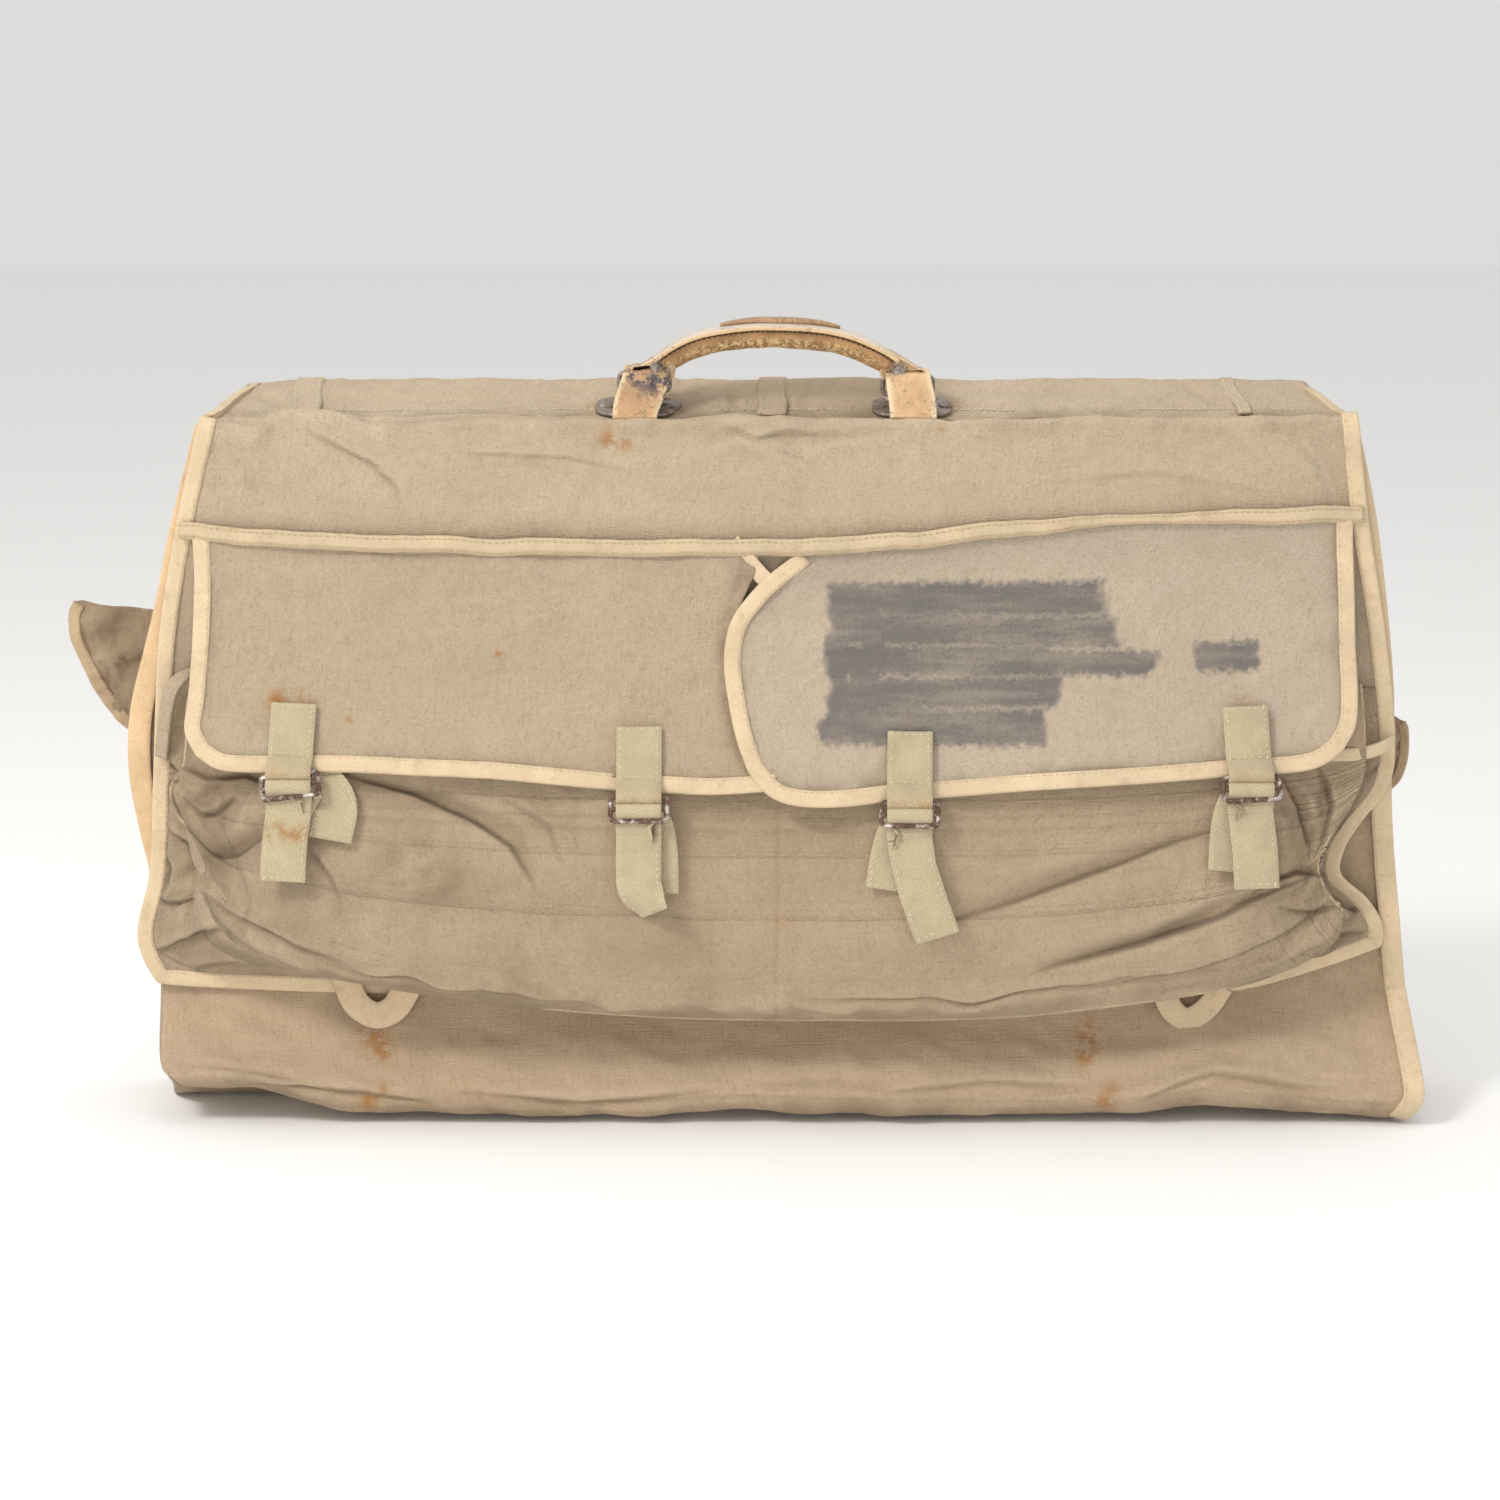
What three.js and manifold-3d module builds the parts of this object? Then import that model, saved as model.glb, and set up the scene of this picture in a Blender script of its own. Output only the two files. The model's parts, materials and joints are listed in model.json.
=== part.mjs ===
// Folding canvas garment bag, stood upright in its carrying position.
// Millimetres, +Z up, the front faces -Y, the origin is the middle of the flat base.
// A rear half (open tray for the clothes) carries a stiffened spine strip, the spine carries the
// handle and the front half, and the front half carries a bellows pocket with two buckled flaps.
import * as THREE from 'three';
import { mergeVertices } from 'three/addons/utils/BufferGeometryUtils.js';
import Module from 'manifold-3d';

const wasm = await Module();
wasm.setup();

// ---------- driving dimensions ----------
const GAP = 0.3; // kept between pieces that touch
const CLOTH = 3; // doubled canvas panel
const TAPE = 1.2; // binding tape
const WEB = 2.2; // webbing thickness
const WEB_WIDTH = 25.4; // one-inch webbing

const BASE_HALF_WIDTH = 355;
const TOP_HALF_WIDTH = 321;
const BARREL_START = 150; // above this height the sides lean in
const BARREL_TOP = 405;

const REAR_Y = 50; // outer face of the rear panel
const REAR_TOP = 411;
const BASE_FRONT_Y = -38;
const MOUTH_Y = -5.5; // front edge of the tray's side gussets
const TRAY_HALF_WIDTH = 351;

const SPINE_HINGE = { y: 46.5, z: 413 };
const SPINE_TILT = 0.2595; // radians, down towards the front
const SPINE_LENGTH = 57.5;
const SPINE_HALF_WIDTH = 320;
const BOARD = 3.7; // spine stiffener
const PLATE = 1.5; // steel handle plates

const LOOP_X = 76; // middle of each leather loop
const LOOP_WIDTH = 29;
const LOOP_OUTER = 11;
const LOOP_LEATHER = 2.6;
const LOOP_PIVOT = { y: -43, z: 12.4 }; // in the spine's tilted frame
const PLATE_SIZE = { x: 45, y: 27, corner: 10 };
const RIVET_OFFSET = 18.5;
const RIVET_RADIUS = 2;

const GRIP_HALF = 57;
const GRIP_WIDTH = 24;
const RING_WIRE = 3.4;

const FRONT_HINGE = { y: -10.5, z: 397.5 };
const FRONT_BOTTOM = 72.5;
const FRONT_TOP = 396.5;
const FRONT_HALF_WIDTH = 354;
const BINDING_WIDTH = 10;

const POCKET_HALF_WIDTH = 338;
const POCKET_SAG = 18; // the middle of the pocket's lower edge hangs this much lower
const FLAP = 2.5;
const FLAP_SAG = 16; // the middle of the flaps' lower edges hangs this much lower
const BUCKLE_X = [-273, -77.5, 73.5, 264];
const BUCKLE_PIVOT_Z = [208, 195.5, 193, 206.5];
const BUCKLE_REACH = { y: -60.2, z: 194.5, slope: 0.41 }; // pivots lie on this line, along the flap
const BUCKLE_TILT = 0.31;
const BUCKLE = { width: 34, wire: 2.4, gap: 6.2 };
const TAIL_DROP = 20.5; // a tail starts this far below its buckle's pivot
const TAIL_BOTTOM_Z = [149, 124, 110, 144];

// ---------- materials ----------
const finish = (color, roughness, metalness) =>
  new THREE.MeshStandardMaterial({ color, roughness, metalness });
const canvas = () => finish(0xc0ad91, 0.95, 0);
const tape = () => finish(0xd8c19d, 0.9, 0);
const webbing = () => finish(0xc3b38e, 0.9, 0);
const leather = () => finish(0xb88a5c, 0.6, 0);
const paleLeather = () => finish(0xe0be98, 0.6, 0);
const board = () => finish(0x8d7a60, 0.9, 0);
const steel = () => finish(0x8f8780, 0.5, 0.8);
const rustySteel = () => finish(0x7d6248, 0.6, 0.7);

// ---------- geometry helpers ----------
const X = new THREE.Vector3(1, 0, 0);
const Y = new THREE.Vector3(0, 1, 0);
const Z = new THREE.Vector3(0, 0, 1);
const BACKWARD = new THREE.Vector3(0, -1, 0);

function shapeOf(points, holes = []) {
  const shape = new THREE.Shape(points.map(([a, b]) => new THREE.Vector2(a, b)));
  for (const hole of holes) shape.holes.push(new THREE.Path(hole.map(([a, b]) => new THREE.Vector2(a, b))));
  return shape;
}

function extrude(points, depth, holes) {
  return new THREE.ExtrudeGeometry(shapeOf(points, holes), { depth, bevelEnabled: false });
}

// A profile of [y, z] points carried along X from x0 to x1.
function prismX(points, x0, x1, holes) {
  const geometry = extrude(points, x1 - x0, holes);
  geometry.applyMatrix4(new THREE.Matrix4().makeBasis(Y, Z, X));
  return geometry.translate(x0, 0, 0);
}

// An outline of [x, z] points carried along Y from y0 to y1.
function prismY(points, y0, y1, holes) {
  const geometry = extrude(points, y1 - y0, holes);
  geometry.applyMatrix4(new THREE.Matrix4().makeBasis(X, Z, BACKWARD));
  return geometry.translate(0, y1, 0);
}

// An outline of [x, y] points carried along Z from z0 to z1.
function prismZ(points, z0, z1, holes) {
  return extrude(points, z1 - z0, holes).translate(0, 0, z0);
}

const rectangle = (a0, a1, b0, b1) => [[a0, b0], [a1, b0], [a1, b1], [a0, b1]];

function circle(a, b, radius, sides = 10) {
  const points = [];
  for (let i = 0; i < sides; i++) {
    const angle = (2 * Math.PI * i) / sides;
    points.push([a + radius * Math.cos(angle), b + radius * Math.sin(angle)]);
  }
  return points;
}

function roundedRectangle(a, b, width, height, corner, steps = 4) {
  const points = [];
  for (let quarter = 0; quarter < 4; quarter++) {
    const signA = quarter === 0 || quarter === 3 ? 1 : -1;
    const signB = quarter < 2 ? 1 : -1;
    for (let i = 0; i <= steps; i++) {
      const angle = (Math.PI / 2) * (quarter + i / steps);
      points.push([
        a + signA * (width / 2 - corner) + corner * Math.cos(angle),
        b + signB * (height / 2 - corner) + corner * Math.sin(angle),
      ]);
    }
  }
  return points;
}

// The closed outline of a strip of the given thickness along a centre line.
function strip(path, thickness) {
  const left = [];
  const right = [];
  path.forEach((point, i) => {
    const before = path[Math.max(i - 1, 0)];
    const after = path[Math.min(i + 1, path.length - 1)];
    const along = new THREE.Vector2(after[0] - before[0], after[1] - before[1]).normalize();
    const half = thickness / 2;
    left.push([point[0] - along.y * half, point[1] + along.x * half]);
    right.push([point[0] + along.y * half, point[1] - along.x * half]);
  });
  return left.concat(right.reverse());
}

// A closed sheet: rows of points on its outer face, and a depth vector to its inner face.
function sheet(rows, depth) {
  const rowLength = rows[0].length;
  const faceSize = rows.length * rowLength;
  const positions = [];
  for (const offset of [[0, 0, 0], depth]) {
    for (const p of rows.flat()) {
      positions.push(p[0] + offset[0], p[1] + offset[1], p[2] + offset[2]);
    }
  }
  const index = [];
  const quad = (a, b, c, d) => index.push(a, b, c, a, c, d);
  const at = (row, column, face) => face * faceSize + row * rowLength + column;
  const lastRow = rows.length - 1;
  const lastColumn = rowLength - 1;
  for (let r = 0; r < lastRow; r++) {
    for (let c = 0; c < lastColumn; c++) {
      quad(at(r, c, 0), at(r + 1, c, 0), at(r + 1, c + 1, 0), at(r, c + 1, 0));
      quad(at(r, c, 1), at(r, c + 1, 1), at(r + 1, c + 1, 1), at(r + 1, c, 1));
    }
    quad(at(r, 0, 0), at(r, 0, 1), at(r + 1, 0, 1), at(r + 1, 0, 0));
    quad(at(r, lastColumn, 0), at(r + 1, lastColumn, 0), at(r + 1, lastColumn, 1), at(r, lastColumn, 1));
  }
  for (let c = 0; c < lastColumn; c++) {
    quad(at(0, c, 0), at(0, c + 1, 0), at(0, c + 1, 1), at(0, c, 1));
    quad(at(lastRow, c, 0), at(lastRow, c, 1), at(lastRow, c + 1, 1), at(lastRow, c + 1, 0));
  }
  const geometry = new THREE.BufferGeometry();
  geometry.setAttribute('position', new THREE.Float32BufferAttribute(positions, 3));
  geometry.setIndex(index);
  return geometry;
}

// Joins two closed geometries into one.
function join(first, second) {
  const [a, b] = [first, second].map((geometry) => {
    const clean = geometry.clone();
    clean.deleteAttribute('normal');
    clean.deleteAttribute('uv');
    const merged = mergeVertices(clean);
    const vertProperties = Float32Array.from(merged.attributes.position.array);
    const triVerts = Uint32Array.from(merged.index.array);
    return new wasm.Manifold(new wasm.Mesh({ numProp: 3, vertProperties, triVerts }));
  });
  const mesh = a.add(b).getMesh();
  const geometry = new THREE.BufferGeometry();
  geometry.setAttribute('position', new THREE.Float32BufferAttribute(mesh.vertProperties, 3));
  geometry.setIndex([...mesh.triVerts]);
  return geometry;
}

// ---------- the bag's outline ----------
function halfWidth(z) {
  const lean = Math.max(0, (z - BARREL_START) / (BARREL_TOP - BARREL_START));
  return BASE_HALF_WIDTH - (BASE_HALF_WIDTH - TOP_HALF_WIDTH) * lean * lean;
}

// Narrows a geometry, drawn at base width, to the bag's width at each height.
function barrel(geometry) {
  const position = geometry.attributes.position;
  for (let i = 0; i < position.count; i++) {
    position.setX(i, (position.getX(i) * halfWidth(position.getZ(i))) / BASE_HALF_WIDTH);
  }
  return geometry;
}

const SIDE_LEVELS = [BARREL_START, 220, 280, 340];
const between = (low, high) => [low, ...SIDE_LEVELS.filter((z) => z > low && z < high), high];

// A U of tape round the sides and the bottom of a panel, its outer face at the given y.
function edgeTape(halfSpan, bottom, top, faceY) {
  const inset = (z) => (z === bottom ? [BINDING_WIDTH, bottom + BINDING_WIDTH] : [BINDING_WIDTH, z]);
  const down = between(bottom, top).reverse().map((z) => {
    const [dx, innerZ] = inset(z);
    return [[-halfSpan, faceY, z], [dx - halfSpan, faceY, innerZ]];
  });
  const up = down.map((row) => row.map(([x, y, z]) => [-x, y, z])).reverse();
  return barrel(sheet([...down, ...up], [0, TAPE, 0]));
}

// ---------- rear half ----------
// Centre line [y, z] of the low front wall that keeps the clothes in; it bellies over the base.
const RETAINER_PATH = [[-40, 1], [-46, 16], [-38, 30], [-10, 46], [-4, 60], [-4, 96]];

function rearPanel() {
  const levels = between(CLOTH + GAP, REAR_TOP).map((z) => [REAR_Y - CLOTH / 2, z]);
  return barrel(prismX(strip(levels, CLOTH), -TRAY_HALF_WIDTH, TRAY_HALF_WIDTH));
}

function baseGusset() {
  return prismX(rectangle(BASE_FRONT_Y, REAR_Y, 0, CLOTH), -TRAY_HALF_WIDTH, TRAY_HALF_WIDTH);
}

function lowerRetainer() {
  return prismX(strip(RETAINER_PATH, CLOTH), -TRAY_HALF_WIDTH, TRAY_HALF_WIDTH);
}

// Front edge [y, z] of the tray's side gussets, from the base to the spine.
const GUSSET_FRONT = [[-41.5, 0], [-47.5, 16], [-39, 31.5], [-11.5, 47], [MOUTH_Y, 60]];
const GUSSET_FRONT_TOP = 396.5;

function rearGusset(side) {
  const outer = BASE_HALF_WIDTH;
  const x = (z) => (side * outer * halfWidth(z)) / BASE_HALF_WIDTH;
  const levels = [...GUSSET_FRONT, ...SIDE_LEVELS.map((z) => [MOUTH_Y, z])];
  const rows = levels.map(([y, z]) => [[x(z), y, z], [x(z), REAR_Y, z]]);
  rows.push([[x(GUSSET_FRONT_TOP), MOUTH_Y, GUSSET_FRONT_TOP], [x(REAR_TOP), REAR_Y, REAR_TOP]]);
  rows.reverse();
  if (side < 0) rows.forEach((row) => row.reverse());
  return sheet(rows, [-side * CLOTH, 0, 0]);
}

function rearBinding() {
  return edgeTape(FRONT_HALF_WIDTH, CLOTH, REAR_TOP - 1, REAR_Y + GAP);
}

// Hanging gear inside the top of the tray.
const HOOK_Y = 25;
const SHELF_Z = 391;

function hangerBracket() {
  const inner = REAR_Y - CLOTH - GAP;
  const hole = circle(0, HOOK_Y, 2.6);
  const shelf = prismZ(rectangle(-16, 16, HOOK_Y - 10, inner), SHELF_Z, SHELF_Z + 2, [hole]);
  const leg = prismX(rectangle(inner - 2, inner, 364, SHELF_Z + 1), -16, 16);
  return join(shelf, leg);
}

function hangingHook() {
  const radius = 15;
  const centreZ = 362;
  const points = [
    new THREE.Vector3(0, HOOK_Y, SHELF_Z + 5),
    new THREE.Vector3(0, HOOK_Y, centreZ + radius + 4),
  ];
  for (let degrees = 80; degrees >= -150; degrees -= 23) {
    const angle = THREE.MathUtils.degToRad(degrees);
    points.push(new THREE.Vector3(radius * Math.cos(angle), HOOK_Y, centreZ + radius * Math.sin(angle)));
  }
  const path = new THREE.CatmullRomCurve3(points);
  const section = shapeOf(circle(0, 0, RIVET_RADIUS, 8));
  const wire = new THREE.ExtrudeGeometry(section, { steps: 30, bevelEnabled: false, extrudePath: path });
  const head = prismZ(circle(0, HOOK_Y, 4.5), SHELF_Z + 2 + GAP, SHELF_Z + 5.5);
  return join(wire, head);
}

function garmentStrap() {
  return prismX(rectangle(42, 42 + WEB, 238, 238 + WEB_WIDTH), -322, 322);
}

const WING = { bottom: 200, top: 284, corner: 16, hingeX: 356 };

function wingOutline(width) {
  const { bottom, top, corner, hingeX } = WING;
  const centreZ = (bottom + top) / 2;
  const radius = Math.min(corner, width / 3);
  const rounded = roundedRectangle(-hingeX - width / 2, centreZ, width, top - bottom, radius);
  return rounded;
}

function sideWing(side) {
  const width = side < 0 ? 50 : 14;
  const outline = wingOutline(width).map(([x, z]) => [side < 0 ? x : -x, z]);
  return prismY(outline, 44.5, 44.5 + CLOTH);
}

// ---------- spine, drawn in its own tilted frame ----------
const spineFrame = new THREE.Group();
spineFrame.position.set(0, SPINE_HINGE.y, SPINE_HINGE.z);
spineFrame.rotation.x = SPINE_TILT;

const rivetHoles = (radius) =>
  [-LOOP_X - RIVET_OFFSET, -LOOP_X + RIVET_OFFSET, LOOP_X - RIVET_OFFSET, LOOP_X + RIVET_OFFSET].map((x) =>
    circle(x, LOOP_PIVOT.y, radius),
  );

function spinePanel() {
  const outline = rectangle(-SPINE_HALF_WIDTH, SPINE_HALF_WIDTH, -SPINE_LENGTH, -1);
  return prismZ(outline, 0, CLOTH, rivetHoles(RIVET_RADIUS + GAP));
}

function spineBoard() {
  return prismZ(rectangle(-286, 286, -52, -10), -GAP - BOARD, -GAP, rivetHoles(RIVET_RADIUS + GAP));
}

function handlePlate(side) {
  const { x, y, corner } = PLATE_SIZE;
  const outline = roundedRectangle(side * LOOP_X, LOOP_PIVOT.y, x, y, corner);
  const holes = [-RIVET_OFFSET, RIVET_OFFSET].map((dx) =>
    circle(side * LOOP_X + dx, LOOP_PIVOT.y, RIVET_RADIUS + GAP),
  );
  return prismZ(outline, CLOTH + GAP, CLOTH + GAP + PLATE, holes);
}

// Backing plate inside the bag with its two rivets up through board, canvas and plate.
function rivetPlate(side) {
  const top = -BOARD - 2 * GAP;
  const head = CLOTH + PLATE + 2 * GAP;
  let plate = prismZ(roundedRectangle(side * LOOP_X, LOOP_PIVOT.y, 48, 16, 4), top - PLATE, top);
  for (const dx of [-RIVET_OFFSET, RIVET_OFFSET]) {
    const x = side * LOOP_X + dx;
    plate = join(plate, prismZ(circle(x, LOOP_PIVOT.y, RIVET_RADIUS), top - PLATE / 2, head + PLATE / 2));
    plate = join(plate, prismZ(circle(x, LOOP_PIVOT.y, 1.9 * RIVET_RADIUS), head, head + PLATE));
  }
  return plate;
}

function leatherLoop(side) {
  const { y, z } = LOOP_PIVOT;
  const foot = CLOTH + PLATE + 2 * GAP;
  const radius = LOOP_OUTER - LOOP_LEATHER / 2;
  const path = [[y - radius, foot]];
  for (let degrees = 180; degrees >= 0; degrees -= 22.5) {
    const angle = THREE.MathUtils.degToRad(degrees);
    path.push([y + radius * Math.cos(angle), z + radius * Math.sin(angle)]);
  }
  path.push([y + radius, foot]);
  const middle = side * LOOP_X;
  return prismX(strip(path, LOOP_LEATHER), middle - LOOP_WIDTH / 2, middle + LOOP_WIDTH / 2);
}

// ---------- handle ----------
const PIVOT = new THREE.Vector3(0, LOOP_PIVOT.y, LOOP_PIVOT.z)
  .applyAxisAngle(X, SPINE_TILT)
  .add(new THREE.Vector3(0, SPINE_HINGE.y, SPINE_HINGE.z));
const GRIP_RISE = 35.5; // grip's centre line above the pivot, in the middle
const GRIP_DROP = 16; // and how much lower it is at its ends

// A band of the arched grip between two offsets from its centre line.
function gripBand(low, high, halfLength, width) {
  const steps = 12;
  const edge = (offset) => {
    const points = [];
    for (let i = 0; i <= steps; i++) {
      const t = (2 * i) / steps - 1;
      const slope = (-2 * GRIP_DROP * t) / halfLength;
      const length = Math.hypot(1, slope);
      const z = PIVOT.z + GRIP_RISE - GRIP_DROP * t * t;
      points.push([halfLength * t - (offset * slope) / length, z + offset / length]);
    }
    return points;
  };
  return prismY(edge(low).concat(edge(high).reverse()), PIVOT.y - width / 2, PIVOT.y + width / 2);
}

const RING = { width: LOOP_WIDTH + 2 * (RING_WIRE + 1.2), topBar: 17 };

function handleRing(side) {
  const height = RING.topBar + RING_WIRE;
  const outer = roundedRectangle(side * LOOP_X, PIVOT.z + RING.topBar / 2, RING.width, height, 3, 2);
  const hole = rectangle(
    side * LOOP_X - RING.width / 2 + RING_WIRE,
    side * LOOP_X + RING.width / 2 - RING_WIRE,
    PIVOT.z + RING_WIRE / 2,
    PIVOT.z + RING.topBar - RING_WIRE / 2,
  );
  return prismY(outer, PIVOT.y - RING_WIRE / 2, PIVOT.y + RING_WIRE / 2, [hole]);
}

// Leather end piece folded round the ring's upper bar.
const BOOT = { half: 6, bottom: 12.7, top: 29 };

function handleBoot(side) {
  const bar = RING_WIRE / 2 + GAP;
  const [bottom, top] = [PIVOT.z + BOOT.bottom, PIVOT.z + BOOT.top];
  const outline = rectangle(PIVOT.y - BOOT.half, PIVOT.y + BOOT.half, bottom, top);
  const slotZ = PIVOT.z + RING.topBar;
  const slot = rectangle(PIVOT.y - bar, PIVOT.y + bar, slotZ - bar, slotZ + bar);
  const inner = LOOP_X - LOOP_WIDTH / 2;
  const outer = LOOP_X + LOOP_WIDTH / 2;
  return side > 0 ? prismX(outline, inner, outer, [slot]) : prismX(outline, -outer, -inner, [slot]);
}

function bootRivet(side) {
  const outline = circle(side * (LOOP_X - 4), PIVOT.z + 24, 3.6);
  const front = PIVOT.y - BOOT.half - GAP;
  return prismY(outline, front - 1.4, front);
}

// ---------- front half ----------
function frontPanel() {
  const levels = between(FRONT_BOTTOM, FRONT_TOP).map((z) => [FRONT_HINGE.y - CLOTH / 2, z]);
  return barrel(prismX(strip(levels, CLOTH), -FRONT_HALF_WIDTH, FRONT_HALF_WIDTH));
}

const FRONT_FACE = FRONT_HINGE.y - CLOTH;

function frontBinding() {
  return edgeTape(FRONT_HALF_WIDTH, FRONT_BOTTOM + 1, FRONT_TOP - 1, FRONT_FACE - GAP - TAPE);
}

function waistTape() {
  return prismY(rectangle(-322, 322, 331.5, 340), FRONT_FACE - GAP - TAPE, FRONT_FACE - GAP);
}

// Outer face of the pocket [y, z], from its mouth down to its lower edge.
const POCKET_PROFILE = [[-24, 252], [-34, 225], [-47, 190], [-60, 150], [-65, 120], [-64, 97], [-60, 85]];
const POCKET_COLUMNS = 8;
const POCKET_BACK = FRONT_FACE - GAP - TAPE - GAP;

const sagAt = (x) => POCKET_SAG * (1 - (x / POCKET_HALF_WIDTH) ** 2);

function profileY(profile, z) {
  for (let i = 1; i < profile.length; i++) {
    const [highY, highZ] = profile[i - 1];
    const [lowY, lowZ] = profile[i];
    if (z >= lowZ) return lowY + ((highY - lowY) * (z - lowZ)) / (highZ - lowZ);
  }
  return profile[profile.length - 1][0];
}

function pocketFront() {
  const [, lowest] = POCKET_PROFILE[POCKET_PROFILE.length - 1];
  const rows = POCKET_PROFILE.map(([y, z]) => {
    const share = Math.max(0, (BARREL_START - z) / (BARREL_START - lowest));
    const row = [];
    for (let i = 0; i <= POCKET_COLUMNS; i++) {
      const x = POCKET_HALF_WIDTH * ((2 * i) / POCKET_COLUMNS - 1);
      row.push([x, y, z - share * sagAt(x)]);
    }
    return row;
  });
  return sheet(rows, [0, CLOTH, 0]);
}

function pocketSideGusset(side) {
  const outline = [...POCKET_PROFILE, [POCKET_BACK, 85], [POCKET_BACK, 252]];
  const inner = POCKET_HALF_WIDTH + GAP;
  const outer = inner + CLOTH;
  return side > 0 ? prismX(outline, inner, outer) : prismX(outline, -outer, -inner);
}

function pocketBottomGusset() {
  const low = [];
  const high = [];
  for (let i = 0; i <= POCKET_COLUMNS; i++) {
    const x = POCKET_HALF_WIDTH * ((2 * i) / POCKET_COLUMNS - 1);
    const z = 85 - GAP - sagAt(x);
    low.push([x, z - CLOTH]);
    high.push([x, z]);
  }
  return prismY(low.concat(high.reverse()), -59, POCKET_BACK);
}

// Flattened loops of tape under the lower edge.
const TAPE_LOOP = { x: 235, half: 22, wall: 1.8, box: [-22, -13.5, 48, 67] };

function tapeLoop(side) {
  const [y0, y1, z0, z1] = TAPE_LOOP.box;
  const { wall, half, x } = TAPE_LOOP;
  const hole = rectangle(y0 + wall, y1 - wall, z0 + wall, z1 - wall);
  return prismX(rectangle(y0, y1, z0, z1), side * x - half, side * x + half, [hole]);
}

function bucklePivot(index) {
  const z = BUCKLE_PIVOT_Z[index];
  return { y: BUCKLE_REACH.y + BUCKLE_REACH.slope * (z - BUCKLE_REACH.z), z };
}

function tailTop(index) {
  const z = BUCKLE_PIVOT_Z[index] - TAIL_DROP;
  return { y: profileY(POCKET_PROFILE, z) - 7.5, z };
}

// Webbing sewn to the pocket; its free end runs up behind the buckle.
function pocketStrap(index) {
  const lift = GAP + WEB / 2;
  const top = tailTop(index).z;
  const levels = [top, 150, 134].map((z) => [profileY(POCKET_PROFILE, z) - lift - 0.2, z]);
  const x = BUCKLE_X[index];
  return prismX(strip(levels, WEB), x - WEB_WIDTH / 2, x + WEB_WIDTH / 2);
}

const TAIL_FRONT = -71;

function strapTail(index) {
  const bottom = TAIL_BOTTOM_Z[index];
  const top = tailTop(index);
  const hang = profileY(POCKET_PROFILE, bottom) - 6.5; // clear of the sewn strap behind it
  const path = [[top.y, top.z - GAP], [Math.max(hang, TAIL_FRONT), bottom]];
  const x = BUCKLE_X[index];
  return prismX(strip(path, WEB), x - WEB_WIDTH / 2, x + WEB_WIDTH / 2);
}

// ---------- flaps ----------
// Outer face of the flaps [y, z] from the hinge seam to the lower edge.
const FLAP_PROFILE = [
  [-20.05, 329.3], [-22.6, 312], [-26, 290], [-31, 252], [-40, 228], [-51, 200], [-54.3, 192],
];
// Where the two flaps meet, x for each profile level: the right flap's edge cuts across.
const MEETING_X = [-15, -15, -15, -27, -24, -18, -16];
const FLAP_OUTER_X = {
  left: [-328, -331, -333, -335, -334, -324, -305],
  right: [322, 325, 328, 329, 328, 320, 300],
};
const FLAP_COLUMNS = 6;
const FLAP_HALF_SPAN = 330;
const FLAP_SAG_START = 252;

function flapEdges(side) {
  return side < 0
    ? { left: FLAP_OUTER_X.left, right: MEETING_X.map((x) => x - GAP / 2) }
    : { left: MEETING_X.map((x) => x + GAP / 2), right: FLAP_OUTER_X.right };
}

// One row of points across a flap at a profile level, moved out by lift.
function flapRow(side, level, lift) {
  const { left, right } = flapEdges(side);
  const [, bottom] = FLAP_PROFILE[FLAP_PROFILE.length - 1];
  const [y, z] = FLAP_PROFILE[level];
  const share = Math.max(0, (FLAP_SAG_START - z) / (FLAP_SAG_START - bottom));
  const row = [];
  for (let i = 0; i <= FLAP_COLUMNS; i++) {
    const x = left[level] + ((right[level] - left[level]) * i) / FLAP_COLUMNS;
    const rise = share * FLAP_SAG * (x / FLAP_HALF_SPAN) ** 2;
    row.push([x, y - lift + rise * BUCKLE_REACH.slope, z + rise]);
  }
  return row;
}

function flap(side) {
  const rows = FLAP_PROFILE.map((_, level) => flapRow(side, level, 0));
  return sheet(rows, [0, FLAP, 0]);
}

// Tape along a flap's lower edge.
function flapBinding(side) {
  const last = FLAP_PROFILE.length - 1;
  const rows = [last - 1, last].map((level) => flapRow(side, level, GAP + TAPE));
  return sheet(rows, [0, TAPE, 0]);
}

// Webbing tab sewn on the flap and folded round the buckle's top bar.
const TAB_RISE = 36; // from the buckle's pivot to the tab's sewn top
const TAB_LIFT = 1.6;
const TAB_BACK = 2.9; // the tab's fold lies this far behind the pivot

function buckleTab(index) {
  const { y, z } = bucklePivot(index);
  const eye = BUCKLE.wire / 2 + 2 * GAP; // the tilted square bar turns in it
  const top = z + TAB_RISE;
  const topY = flapFaceY(BUCKLE_X[index], top) - TAB_LIFT;
  const bendY = flapFaceY(BUCKLE_X[index], z + 10) - TAB_LIFT - TAPE;
  const outline = [
    [y - eye - WEB, z - eye - WEB],
    [y + TAB_BACK, z - eye - WEB],
    [y + TAB_BACK, z + eye + GAP],
    [bendY, z + 10],
    [topY, top],
    [topY - WEB, top],
    [y - eye - WEB, z + eye + WEB],
  ];
  const hole = rectangle(y - eye, y + eye, z - eye, z + eye);
  const x = BUCKLE_X[index];
  return prismX(outline, x - WEB_WIDTH / 2, x + WEB_WIDTH / 2, [hole]);
}

// The flap's outer face at a place, allowing for its sagging lower edge.
function flapFaceY(x, z) {
  const share = Math.max(0, (FLAP_SAG_START - z) / (FLAP_SAG_START - 192));
  const rise = share * FLAP_SAG * (x / FLAP_HALF_SPAN) ** 2;
  return profileY(FLAP_PROFILE, z - rise) + rise * BUCKLE_REACH.slope;
}

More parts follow.
